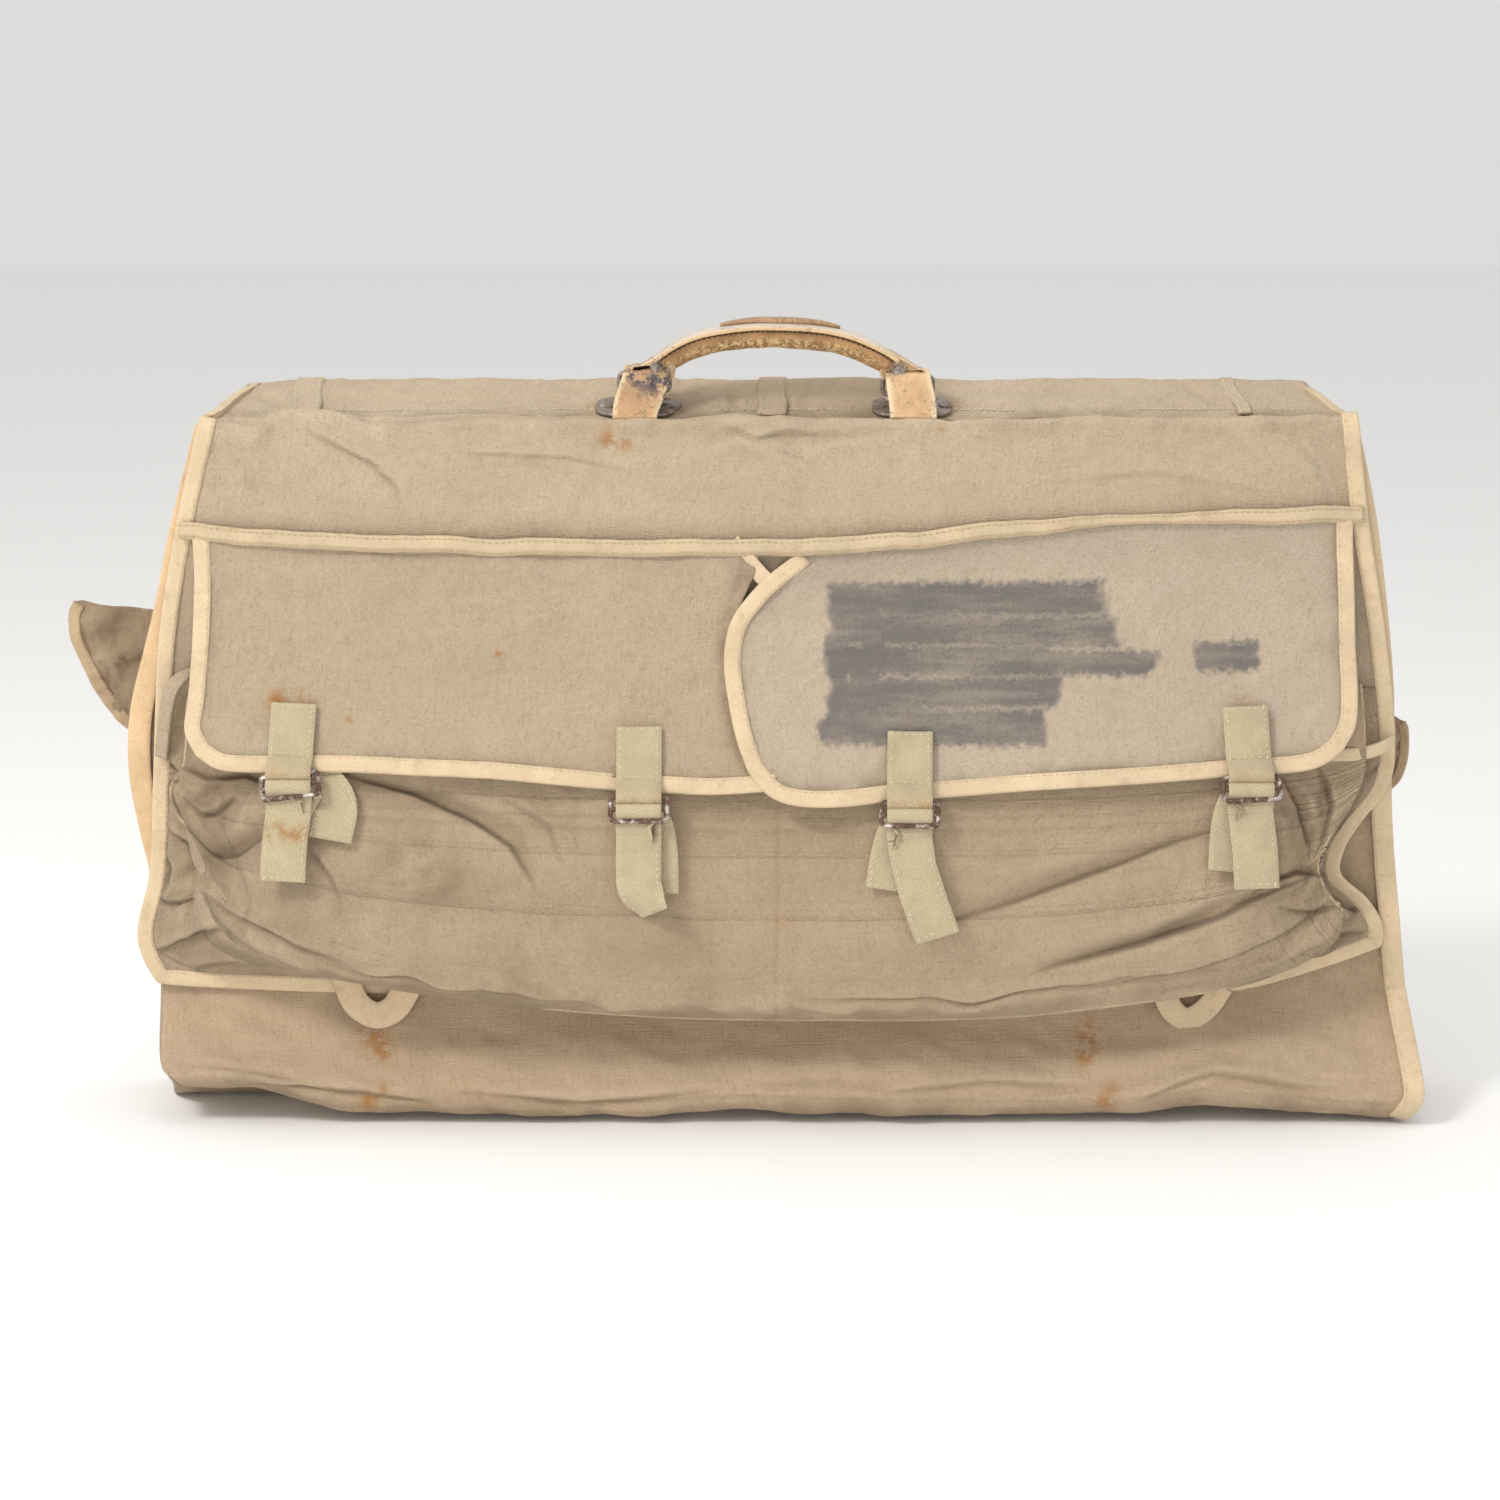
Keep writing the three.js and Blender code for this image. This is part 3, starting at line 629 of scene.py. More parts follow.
def canvas_material(name, base, ink=None):
    """Worn canvas: yarns, specks, stains, and what a sheet's own fields mark out: rust, grime with painted
    shade, painted shadow lines at sharp folds, and painted shade and highlight on its relief.
    """
    s = Shader(name, 0.95, Sheen_Weight=0.12, Sheen_Roughness=0.6, Specular_IOR_Level=0.18)
    s.place = s.attribute("rest", True)
    flat = s.attribute("flat", True)
    dark = shade(base, (0.72, 0.66, 0.58))
    pale = shade(base, (1.12, 1.13, 1.17))
    broad = s.ramp(s.noise(7, 4, distortion=0.6), 0.32, 0.68)
    colour = s.mix(s.times(broad, 0.45), base, pale)
    blotch = s.ramp(s.noise(24, 5, roughness=0.65), 0.5, 0.78)
    colour = s.mix(s.times(blotch, 0.30), colour, dark)
    fine = s.ramp(s.noise(150, 3, roughness=0.7), 0.35, 0.75)
    colour = s.mix(s.times(fine, 0.14), colour, dark)
    speck = s.noise(640, 3, roughness=0.85)
    colour = s.mix(s.ramp(speck, 0.49, 0.66, 0.0, 0.62), colour, dark)
    colour = s.mix(s.ramp(speck, 0.46, 0.30, 0.0, 0.55), colour, pale)
    slub = s.noise(1, 3, s.scaled(flat, (560, 70, 1)), roughness=0.7)
    slub_across = s.noise(1, 2, s.scaled(flat, (80, 900, 1)))
    yarn = s.math("ADD", slub, slub_across)
    colour = s.mix(s.ramp(slub, 0.51, 0.70, 0.0, 0.34), colour, dark)
    colour = s.mix(s.ramp(slub, 0.47, 0.30, 0.0, 0.34), colour, pale)
    # Painted shade in the small valleys of the sheet's relief and painted highlight on its ridges.
    relief = s.attribute("relief")
    valley = s.ramp(relief, -0.05, -0.8)
    ridge = s.ramp(relief, 0.1, 0.9)
    colour = s.mix(s.times(valley, 0.22), colour, dark)
    colour = s.mix(s.times(ridge, 0.28), colour, pale)
    # Painted shadow: a dark line beside each sharp fold.
    colour = s.mix(s.times(s.attribute("crease"), 0.8), colour, shade(dark, 0.42))
    # Grime and painted shade: a sheet's darkening field pulls the cloth towards dark brown, for real grime
    # and for shade in recesses, along tape edges and behind other parts.
    grime_and_shade_mask = s.times(s.attribute("grime_and_shade"), s.ramp(s.noise(30, 5), 0.25, 0.7))
    colour = s.mix(s.times(grime_and_shade_mask, 0.75), colour, (0.20, 0.135, 0.075))
    spots = s.times(s.attribute("rust"), s.ramp(s.noise(130, 5, roughness=0.75), 0.42, 0.56))
    colour = s.mix(spots, colour, (0.42, 0.20, 0.06))
    if ink is not None:
        colour = ink(s, colour)
    s.colour(colour)
    grain = weave(s, 0.0011, flat)
    s.bump((s.noise(420, 3, roughness=0.7), 0.0007), (yarn, 0.0008), (grain, 0.00015))
    return s.material


def soft_box(s, parts, centre, half, edge, turn):
    """1 inside a turned rectangle in x and z, falling to 0 over its edge; sizes in millimetres."""
    c, k = math.cos(turn), math.sin(turn)
    dx = s.math("SUBTRACT", parts[0], centre[0] * MM)
    dz = s.math("SUBTRACT", parts[1], centre[1] * MM)
    a = s.math("ADD", s.times(dx, c), s.times(dz, k))
    b = s.math("SUBTRACT", s.times(dz, c), s.times(dx, k))
    in_a = s.ramp(s.math("ABSOLUTE", a), (half[0] + edge) * MM, (half[0] - edge) * MM)
    in_b = s.ramp(s.math("ABSOLUTE", b), (half[1] + edge) * MM, (half[1] - edge) * MM)
    return s.times(in_a, in_b)


PAINT_EDGE = 2.6
# A block of dark paint brushed over the right flap, as plain strokes: (centre, half size, turn).
PAINT_STROKES = [
    ((106, 302), (80, 9.5), 0.01),
    ((110, 285), (79, 9), -0.01),
    ((92, 268), (62, 9), 0.0),
    ((172, 267), (38, 7), -0.02),
    ((94, 250), (64, 9), 0.02),
    ((94, 232), (61, 10), -0.01),
    ((34, 266), (7, 42), 0.03),
    ((50, 262), (7, 38), -0.12),
    ((254.5, 270), (18, 8), 0.03),
]


def painted(s, colour):
    """Canvas colour with the paint over it: ragged strokes, thin where the brush ran dry."""
    parts = s.parts(s.place)
    shift = s.noise(32, 3)
    fine = s.noise(260, 4)
    x = s.math("ADD", parts[0], s.times(s.math("SUBTRACT", shift, 0.5), 0.036))
    z = s.math("ADD", parts[2], s.times(s.math("SUBTRACT", fine, 0.5), 0.011))
    mask = None
    for centre, half, turn in PAINT_STROKES:
        stroke = soft_box(s, (x, z), centre, half, PAINT_EDGE, turn)
        mask = stroke if mask is None else s.math("MAXIMUM", mask, stroke)
    streak = s.noise(1, 4, s.scaled(s.place, (22, 22, 150)), roughness=0.6)
    patch = s.noise(22, 4, roughness=0.6)
    grain = s.noise(700, 3, roughness=0.85)
    cover = s.math("ADD", s.times(streak, 0.8), s.times(patch, 0.6))
    cover = s.math("ADD", cover, s.times(grain, 0.6))
    thin = s.times(mask, s.ramp(cover, 0.78, 1.14, 0.58, 0.9))
    return s.mix(thin, colour, (0.15, 0.142, 0.135))


def tape_material(name, base):
    """Ribbed cotton tape."""
    s = Shader(name, 0.9, Sheen_Weight=0.1, Specular_IOR_Level=0.2)
    s.place = s.attribute("rest", True)
    flat = s.attribute("flat", True)
    dark = shade(base, (0.68, 0.62, 0.55))
    pale = shade(base, 1.14)
    colour = s.mix(s.ramp(s.noise(45, 4), 0.35, 0.7), base, pale)
    colour = s.mix(s.times(s.ramp(s.noise(110, 4, roughness=0.7), 0.5, 0.75), 0.45), colour, dark)
    rib = s.noise(1, 2, s.scaled(flat, (600, 1300, 1)))
    colour = s.mix(s.times(s.ramp(rib, 0.35, 0.7), 0.25), colour, dark)
    s.colour(colour)
    s.bump((s.noise(260, 3), 0.0004), (rib, 0.0004))
    return s.material


def webbing_material(name, base):
    """Webbing with a herringbone rib, pale edges and rust where a strap's own field marks it."""
    s = Shader(name, 0.92, Sheen_Weight=0.15, Specular_IOR_Level=0.2)
    s.place = s.attribute("rest", True)
    flat = s.attribute("flat", True)
    dark = shade(base, (0.7, 0.66, 0.58))
    pale = shade(base, 1.15)
    parts = s.parts(flat)
    slope = s.math("ABSOLUTE", parts[0])
    twill = s.math("ADD", s.times(slope, 0.8), parts[1])
    rib = s.math("SINE", s.times(twill, 2 * math.pi / 0.0017))
    yarn = s.noise(1, 2, s.scaled(flat, (1300, 200, 1)))
    colour = s.mix(s.ramp(s.noise(50, 4), 0.3, 0.7), base, pale)
    colour = s.mix(s.times(s.ramp(rib, -0.2, -1.0), 0.28), colour, dark)
    colour = s.mix(s.times(s.ramp(yarn, 0.5, 0.75), 0.3), colour, dark)
    edge = s.ramp(slope, 0.0105, 0.0127)
    colour = s.mix(s.times(edge, 0.3), colour, pale)
    stain = s.ramp(s.noise(28, 5), 0.58, 0.75)
    colour = s.mix(s.times(stain, 0.4), colour, dark)
    rust = s.times(s.attribute("rust"), s.ramp(s.noise(140, 4, roughness=0.7), 0.3, 0.65))
    colour = s.mix(rust, colour, (0.40, 0.20, 0.07))
    s.colour(colour)
    s.bump((rib, 0.00022), (yarn, 0.0003), (s.noise(500, 2), 0.0003))
    return s.material


def leather_material(name, base, scuff, wear, edge=None, depth=0.5):
    """Leather with grain, cracks and scuffs that show paler fibre."""
    s = Shader(name, 0.58, Specular_IOR_Level=0.4)
    s.place = s.node("TexCoord", 3)
    dark = tuple(c * (1 - depth * k) for c, k in zip(base, (1.0, 1.16, 1.28)))
    colour = s.mix(s.ramp(s.noise(60, 5, roughness=0.65), 0.3, 0.75), dark, base)
    colour = s.mix(s.times(s.ramp(s.noise(28, 4), 0.4, 0.7), 0.5), colour, shade(base, 1.2))
    flake = s.noise(330, 6, roughness=0.72, distortion=0.8)
    broad = s.noise(45, 3)
    reach = 0.3 * wear
    worn = s.ramp(s.math("ADD", flake, s.times(broad, 0.6)), 0.98 - reach, 1.06 - reach)
    worn = s.math("MAXIMUM", worn, s.times(s.attribute("scuff"), s.ramp(flake, 0.44, 0.52)), True)
    colour = s.mix(s.times(worn, 0.85), colour, scuff)
    crack = s.node("TexVoronoi", 0, {"feature": "DISTANCE_TO_EDGE"}, Vector=s.place, Scale=260.0)
    colour = s.mix(s.ramp(crack, 0.05, 0.0, 0.0, 0.45), colour, dark)
    colour = s.mix(s.attribute("raw"), colour, edge or scuff)
    stains = s.times(s.attribute("stain"), s.ramp(s.noise(120, 5, roughness=0.8), 0.42, 0.56))
    colour = s.mix(stains, colour, (0.055, 0.05, 0.06))
    s.colour(colour)
    s.roughness(s.ramp(worn, 0.0, 1.0, 0.5, 0.85))
    s.bump((s.noise(330, 4, roughness=0.65), 0.0006), (crack, 0.0005), (worn, -0.0004))
    return s.material


def metal_material(name, base, rust, amount, roughness):
    """Steel with patches of rust; amount is the share that is rusty."""
    s = Shader(name, roughness, Metallic=0.0)
    s.place = s.node("TexCoord", 3)
    patch = s.noise(180, 6, roughness=0.7)
    cover = s.ramp(patch, 0.62 - 0.35 * amount, 0.78 - 0.35 * amount)
    fine = s.noise(900, 4)
    colour = s.mix(s.ramp(fine, 0.3, 0.7), shade(base, 0.8), base)
    rusty = s.mix(s.ramp(s.noise(420, 4), 0.35, 0.65), shade(rust, 0.5), rust)
    colour = s.mix(cover, colour, rusty)
    s.colour(colour)
    s.roughness(s.ramp(cover, 0.0, 1.0, roughness, 0.9))
    s.tree.links.new(s.ramp(cover, 0.0, 1.0, 0.9, 0.1), s.surface.inputs["Metallic"])
    s.bump((s.times(cover, s.noise(700, 5)), 0.0004), (s.noise(240, 3), 0.0002))
    return s.material


KHAKI = (0.53, 0.425, 0.295)
canvas = canvas_material("canvas_khaki", shade(KHAKI, 1.06))
# A darker copy of the same canvas for the flaps and the left pocket hem: painted shade.
canvas_flap_shaded = canvas_material("canvas_flap_shaded", shade(KHAKI, 0.93))
canvas_grey = canvas_material("canvas_faded", (0.55, 0.455, 0.345), painted)
# The pocket and its gussets in a darker canvas: partly the cloth's own darker colour, partly painted shade.
canvas_pocket = canvas_material("canvas_pocket", (0.49, 0.375, 0.25))
# The same canvas recoloured for how light falls on the low wall and the side walls: painted light.
canvas_low = canvas_material("canvas_low_painted_light", (0.565, 0.425, 0.283))
# A darker copy for the wings, which lie in shade: painted shade.
canvas_wing_shaded = canvas_material("canvas_wing_shaded", (0.47, 0.355, 0.238))
tape = tape_material("cream_tape", (0.63, 0.50, 0.335))
# A darker copy of the cream tape for the waist band and the gusset tops: painted shade.
tape_waist = tape_material("waist_tape_painted_shade", (0.56, 0.445, 0.298))
tape_orange = tape_material("amber_tape", (0.66, 0.47, 0.28))
# A darker copy of the cream tape for the wings' edges: painted shade.
tape_wing_shaded = tape_material("wing_tape_painted_shade", (0.44, 0.33, 0.21))
webbing = webbing_material("olive_webbing", (0.515, 0.432, 0.282))
grip_leather = leather_material("grip_leather", (0.45, 0.25, 0.11), (0.64, 0.45, 0.22), 0.1)
band_leather = leather_material("band_leather", (0.66, 0.58, 0.475), (0.70, 0.63, 0.53), 0.2,
                                (0.62, 0.44, 0.25), 0.16)
pad_leather = leather_material("pad_leather", (0.50, 0.33, 0.19), (0.62, 0.46, 0.29), 0.35,
                               (0.74, 0.55, 0.33))
loop_leather = leather_material("loop_leather", (0.76, 0.53, 0.30), (0.90, 0.70, 0.46), 0.25,
                                (0.78, 0.61, 0.40), 0.36)
loop_leather_scuffed = leather_material("loop_leather_scuffed", (0.58, 0.37, 0.20), (0.80, 0.60, 0.38), 0.35,
                                        (0.72, 0.55, 0.34), 0.4)
plate_metal = metal_material("grey_steel", (0.38, 0.33, 0.30), (0.24, 0.17, 0.12), 0.45, 0.5)
buckle_metal = metal_material("rusty_buckle", (0.70, 0.64, 0.58), (0.17, 0.095, 0.06), 0.72, 0.35)
board_material = leather_material("fibreboard", (0.25, 0.17, 0.10), (0.35, 0.25, 0.16), 0.2)


def thread_material(name, colour):
    s = Shader(name, 0.9)
    s.place = s.node("TexCoord", 3)
    s.colour(s.mix(s.ramp(s.noise(400, 2), 0.3, 0.7), shade(colour, 0.75), colour))
    return s.material


thread = thread_material("tan_thread", (0.60, 0.47, 0.30))
thread_pale = thread_material("pale_thread", (0.68, 0.60, 0.43))
thread_dark = thread_material("dark_thread", (0.10, 0.055, 0.03))


# ---------- edges of cloth ----------
def smooth_line(line, steps):
    """A line of vectors evened out along its length."""
    padded = np.pad(line, [(steps, steps), (0, 0)], mode="edge")
    total = np.cumsum(np.vstack([np.zeros((1, line.shape[1])), padded]), axis=0)
    width = 2 * steps + 1
    return (total[width:] - total[:-width]) / width


def directions(path, steps):
    """Unit vectors along a path, evened out."""
    return unit(smooth_line(unit(np.gradient(path, axis=0)), steps))


SEAM_INSET = 2.6  # a tape's stitches, in from its inner edge


def border(grid, pieces, facing):
    """Some edges of a grid in order: points, unit normals and points a little inside."""
    step = 6
    spacing = 2.2
    n = outward(grid, facing)
    sides = {
        "left": (np.s_[:, 0], np.s_[:, step]),
        "right": (np.s_[:, -1], np.s_[:, -1 - step]),
        "bottom": (np.s_[-1], np.s_[-1 - step]),
    }
    found = []
    for piece in pieces:
        edge, inner = sides[piece.lstrip("-")]
        stack = np.concatenate([grid[edge], n[edge], grid[inner]], axis=1)
        found.append(stack[::-1] if piece.startswith("-") else stack)
    whole = np.vstack(found)
    keep = np.concatenate([[True], np.linalg.norm(np.diff(whole[:, :3], axis=0), axis=1) > 1e-4])
    whole = whole[keep]
    along = arc_length(whole[:, :3])
    at = np.linspace(0, along[-1], int(along[-1] / spacing))
    even = np.stack([np.interp(at, along, whole[:, k]) for k in range(9)], axis=1)
    return even[:, :3], even[:, 3:6], even[:, 6:]


def bound_edge(name, grid, pieces, facing, body, stitches, material=tape, width=TAPE_WIDTH, nodes=(),
               thickness=3.4):
    """Tape round some edges of a grid, and its row of stitches."""
    line, normal, near = border(grid, pieces, facing)
    normal = unit(smooth_line(normal, 6))
    along = directions(line, 2)
    inward = unit(np.cross(normal, along))
    inward = inward * np.sign((inward * (near - line)).sum())
    inward = unit(smooth_line(inward, 3))
    line = line + normal * (0.25 * np.sin(np.arange(len(line)) / 7.0))[:, None]
    piece = edge_tape(name, line - normal * CANVAS / 2, inward, normal, material, width, thickness)
    place(piece, body, "binding_tape", *nodes)
    seam = line + inward * (width - SEAM_INSET) + normal * (thickness / 2 - CANVAS / 2)
    stitches.append((seam, normal))


def patch(left, right, top, bottom, rows, columns):
    """A Coons patch between four curves: left and right run down, top and bottom run left to right."""
    left, right = (curve(c, rows)[:, None] for c in (left, right))
    top, bottom = (curve(c, columns)[None] for c in (top, bottom))
    u = np.linspace(0, 1, columns)[None, :, None]
    v = np.linspace(0, 1, rows)[:, None, None]
    upper = (1 - u) * (1 - v) * left[:1] + u * (1 - v) * right[:1]
    corners = upper + (1 - u) * v * left[-1:] + u * v * right[-1:]
    return (1 - u) * left + u * right + (1 - v) * top + v * bottom - corners


# ---------- front half: the upper panel and its rolled top ----------
FRONT_LEFT = [(66, -350), (78, -357), (92, -364), (109, -366), (143, -358), (201, -354), (276, -348.5),
              (340, -337), (400, -322), (410, -320)]
FRONT_RIGHT = [(60, 340), (80, 343), (100, 347), (112, 346), (126, 337), (143, 320), (158, 322), (172, 332),
               (192, 347), (219, 350), (276, 343), (348, 330), (404, 322), (410, 321)]
FRONT_BOTTOM = [(-372, 82), (-350, 76), (-300, 73), (-200, 70), (0, 68), (200, 67), (250, 70), (283, 75),
                (323, 88), (350, 99)]
RIDGE = 404.0
RIM = 392.0  # above this the panel keeps its profile's own heights
PANEL_FOOT = 75.0
# How far the rolled top stands above its mean height, along x.
RIDGE_LINE = [(-322, -1.5), (-308, -4.0), (-292, -6.0), (-276, 2.0), (-250, 1.5), (-238, -1), (-222, -5),
              (-180, -4.2), (-134, -3.2), (-76, -2.2), (0, -1), (322, -1.2)]


DENT_DEPTH = 12.0


def stain_field(x, z, spots):
    """Soft round stains: (x, z, radius, strength)."""
    total = np.zeros_like(x)
    for cx, cz, radius, strength in spots:
        total += strength * np.exp(-(((x - cx) ** 2 + (z - cz) ** 2) / radius**2))
    return np.clip(total, 0, 1)


def corner_dent(z):
    """How deeply the right edge is dented beside the pocket, by height."""
    return bell(z, 146, 20)


def front_sheet():
    """The upper panel, from the spine over the rolled top down to its free edge."""
    profile = curve([(-5.0, 401.6), (-9.5, 402.6), (-13, 404.0), (-16.8, 403.8), (-19, 400.5), (-19.2, 394),
                     (-17.6, 384), (-16.2, 366), (-15, 345), (-14, 300), (-13.6, 200), (-13.4, 75)], 230)
    columns = 300
    share = np.linspace(0, 1, columns)[None, :]
    z0 = profile[:, 1][:, None] + 0 * share
    bottom = soft_interp(-355 + share * 703, FRONT_BOTTOM)
    z = RIDGE - (RIDGE - z0) * (RIDGE - bottom) / (RIDGE - PANEL_FOOT)
    z = np.where(z0 > RIM, z0, z)
    left = soft_interp(z, FRONT_LEFT)
    right = soft_interp(z, FRONT_RIGHT)
    x = left + (right - left) * share
    y = profile[:, 0][:, None] + 0 * x
    dent = corner_dent(z) * ease(60, 0, right - x)
    y = y - DENT_DEPTH * dent
    z = z + soft_interp(x, RIDGE_LINE) * ease(-5, -13, y) * ease(376, 402, z0)
    grid = np.stack([x, y, z], axis=-1)
    top = ease(330, 385, z)
    h = 1.3 * waves(x, z, 210, 1, 0.8) * ease(300, 380, z)
    h += 0.45 * crumple(x, z, 60, 2, 1.4) * top
    ridge = ease(385, 402, z)
    h += ridge * (1.2 * waves(x, z * 0, 120, 3, 0) + 0.5 * waves(x, z * 0, 38, 4, 0))
    add_folds(h, x, z, [
        ([(-34, 398), (-8, 393), (22, 391), (64, 396)], 4.5, 1.8),
        ([(-40, 388), (-14, 398), (-6, 402)], 5, 1.5),
        ([(-10, 402), (10, 386), (24, 376)], 5, 1.3),
        ([(-26, 396), (-4, 384), (30, 376)], 7, -1.2),
        ([(-250, 352), (-120, 360), (10, 350)], 16, 1.1),
        ([(60, 352), (180, 366), (300, 356)], 18, 1.2),
        ([(-318, 396), (-296, 372), (-290, 345)], 8, 1.4),
        ([(-300, 366), (-250, 350), (-200, 344)], 9, 1.2),
        ([(300, 396), (312, 374), (318, 350)], 9, 1.5),
        ([(236, 398), (262, 380), (300, 362)], 9, 1.1),
        ([(150, 400), (162, 380), (158, 356)], 10, 0.8),
        ([(-106, 400), (-100, 376), (-104, 350)], 5, 0.6),
        ([(-66, 400), (-62, 380), (-66, 352)], 5, 0.5),
        ([(70, 400), (66, 380), (68, 352)], 5, 0.5),
        ([(12, 366), (14, 352), (10, 344)], 5, 0.8),
    ])
    rise, shadow = tucks(x, z, [
        ([(-30, 399), (-12, 392), (6, 396), (26, 393)], 5, 1.6),
        ([(-8, 392), (4, 384), (20, 378)], 4, 1.2),
        ([(-261, 396), (-227, 378), (-213, 364), (-210, 348)], 6, 2.0),
        ([(-176, 384), (-120, 381), (-84, 374)], 5, 1.2),
        ([(-190, 372), (-140, 376), (-100, 368)], 5, -0.8),
        ([(288, 392), (302, 376), (312, 352)], 6, 1.4),
        ([(150, 366), (210, 372), (270, 362)], 6, 0.8),
    ])
    h += rise
    grid = pushed(grid, (0, -1, 0.2), h)
    rust = stain_field(x, z, [(-94, 391, 6, 0.9), (-84, 388, 3.5, 0.8), (-150, 372, 2, 0.5),
                              (90, 396, 4, 0.35)])
    # Painted shade: darker below the waist tape behind the flaps, just under the rolled top and in the dent
    # beside the pocket, with painted shadow lines along both side edges inside the tape.
    grime_and_shade = 0.3 * ease(352, 338, z) + 0.35 * bell(z, 398, 5)
    grime_and_shade = grime_and_shade + 0.5 * np.exp(-((x - left) / 16)) + 0.5 * np.exp(-((right - x) / 16)) + 0.3 * dent
    obj = cloth("front_panel_cloth", grid, canvas, (0, -1, 0.2),
                marks={"rust": rust, "grime_and_shade": np.clip(grime_and_shade, 0, 1), "crease": shadow * 0.45}, relief=h)
    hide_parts("front_panel")
    return obj, grid


front_obj, front_grid = front_sheet()
over_ridge = np.arange(len(front_grid)) >= np.argmax(front_grid[:, 0, 2])
front_stitches = []
bound_edge("front_edge_tape", front_grid[over_ridge], ["left", "bottom", "-right"], (0, -1, 0),
           "front_half", front_stitches, nodes=("front_binding",), thickness=3.8)


# ---------- waist tape ----------
WAIST = [(-335, 340), (-280, 335.4), (-200, 332.4), (-60, 330), (40, 332), (125, 340.5), (200, 346.5),
         (329, 349)]


def waist_z(x):
    return soft_interp(x, WAIST)


def waist_band():
    x = np.linspace(-335, 328, 330)
    z = waist_z(x) + 0.6 * waves(x, x * 0, 70, 8, 0)
    y = -17.4 - 3.2 * ease(-335, -300, x) * ease(328, 296, x) + 0.4 * waves(x, x * 0, 90, 9, 0)
    path = np.stack([x, y, z], axis=1)
    width = 9.6 - 4.2 * bell(x, 205, 48)
    sections = stretched_sections(flat_section(1.0, 3.2, 0.1), width, np.ones_like(width))
    sections[:, :, 0] = np.clip(sections[:, :, 0], -width[:, None] / 2, width[:, None] / 2)
    obj, _, _ = strap("waist_tape_band", path, (0, 0, 1), tape_waist, section=sections)
    place(obj, "front_half", "binding_tape", "waist_tape")
    normal = np.broadcast_to((0.0, -1.0, 0.0), path.shape)
    for share in (-0.34, 0.34):
        front_stitches.append((path + np.stack([0 * x, 0 * x - 1.65, width * share], 1), normal))


waist_band()


# ---------- flaps ----------
# Each flap's outer face from the side, as (z, y).
FLAP_FACE = [(345, -18.4), (329, -18.8), (322, -20.6), (312, -23.5), (290, -27.5), (252, -33), (228, -41.5),
             (206, -50.5), (196, -54.5), (186, -58.5)]
# Outlines as (x, z); each corner is rounded, so a side starts and ends halfway round it.
LEFT_FLAP = {
    "left": [(-327, 334), (-326, 312), (-327, 280), (-330, 246), (-331.5, 230), (-325, 217.5)],
    "right": [(-10, 328), (-13, 316), (-20, 300), (-23, 284), (-24, 266), (-22, 243), (-17, 224),
              (-10, 209), (-1, 199)],
    "bottom": [(-325, 217.5), (-313, 210.6), (-295, 209), (-262, 209.4), (-230, 208.8), (-168, 206),
               (-89, 200), (-40, 197.4), (-1, 199)],
}
RIGHT_FLAP = {
    "left": [(13, 328), (-2, 317), (-14.5, 305), (-25.5, 289), (-29, 268), (-26.5, 246), (-22, 226),
             (-15.5, 209)],
    "right": [(321, 344), (322, 316), (323, 283), (324.5, 252), (323, 233), (316, 220.5)],
    "bottom": [(-15.5, 209), (-5.5, 198), (5, 193), (21, 191), (42, 191.4), (69, 194.2), (125, 198.4),
               (210, 203.6), (252, 207), (289, 209.4), (305, 213), (316, 220.5)],
}


def flap_face_y(z):
    return soft_interp(z, FLAP_FACE[::-1])


def overlap(x):
    """How far the right flap stands off over the left one."""
    return 3.2 * ease(70, -10, x)


def flap_layout(outline, rows=150, columns=230):
    """x and z arrays of a flap hanging from the waist tape."""
    x = np.linspace(outline["left"][0][0], outline["right"][0][0], 9)
    top = list(zip(x, waist_z(x) - 3.0))
    left = [top[0], *outline["left"][1:]]
    right = [top[-1], *outline["right"][1:]]
    flat = patch(left, right, top, outline["bottom"], rows, columns)
    return flat[..., 0], flat[..., 1]


def flap_relief(x, z, seed, lines):
    """A flap's unevenness and its creases."""
    h = 1.7 * waves(x, z, 190, seed, 0.9) + 0.6 * waves(x, z, 70, seed + 1)
    h += 0.4 * crumple(x, z, 52, seed + 2, 1.3)
    h *= ease(338, 318, z)
    add_folds(h, x, z, lines)
    return h


def make_flap(name, x, z, seed, lines, material, body, node, rust_spots, lift=0.0):
    """A flap's sheet, with painted shade along its free edges just inside the tape."""
    y = flap_face_y(z) - lift
    grid = np.stack([x, y, z], axis=-1)
    h = flap_relief(x, z, seed, lines)
    grid = pushed(grid, (0, -1, 0.3), h)
    rows, columns = x.shape
    # Painted shadow along the tape: darkest within a few millimetres of the sides and bottom, where the
    # tape's inner edge meets the cloth.
    from_side = np.minimum(np.arange(columns), np.arange(columns)[::-1])[None, :] * 1.4
    from_bottom = np.arange(rows)[::-1][:, None] * 0.9
    near = np.clip(np.minimum(from_side, from_bottom) - 8, 0, None)
    grime_and_shade = np.clip(0.05 + 1.0 * np.exp(-near / 3.5), 0, 1)
    marks = {"grime_and_shade": grime_and_shade, "rust": stain_field(x, z, rust_spots)}
    obj = cloth(name, grid, material, (0, -1, 0.3), marks=marks, relief=h)
    place(obj, body, "canvas", node)
    return grid


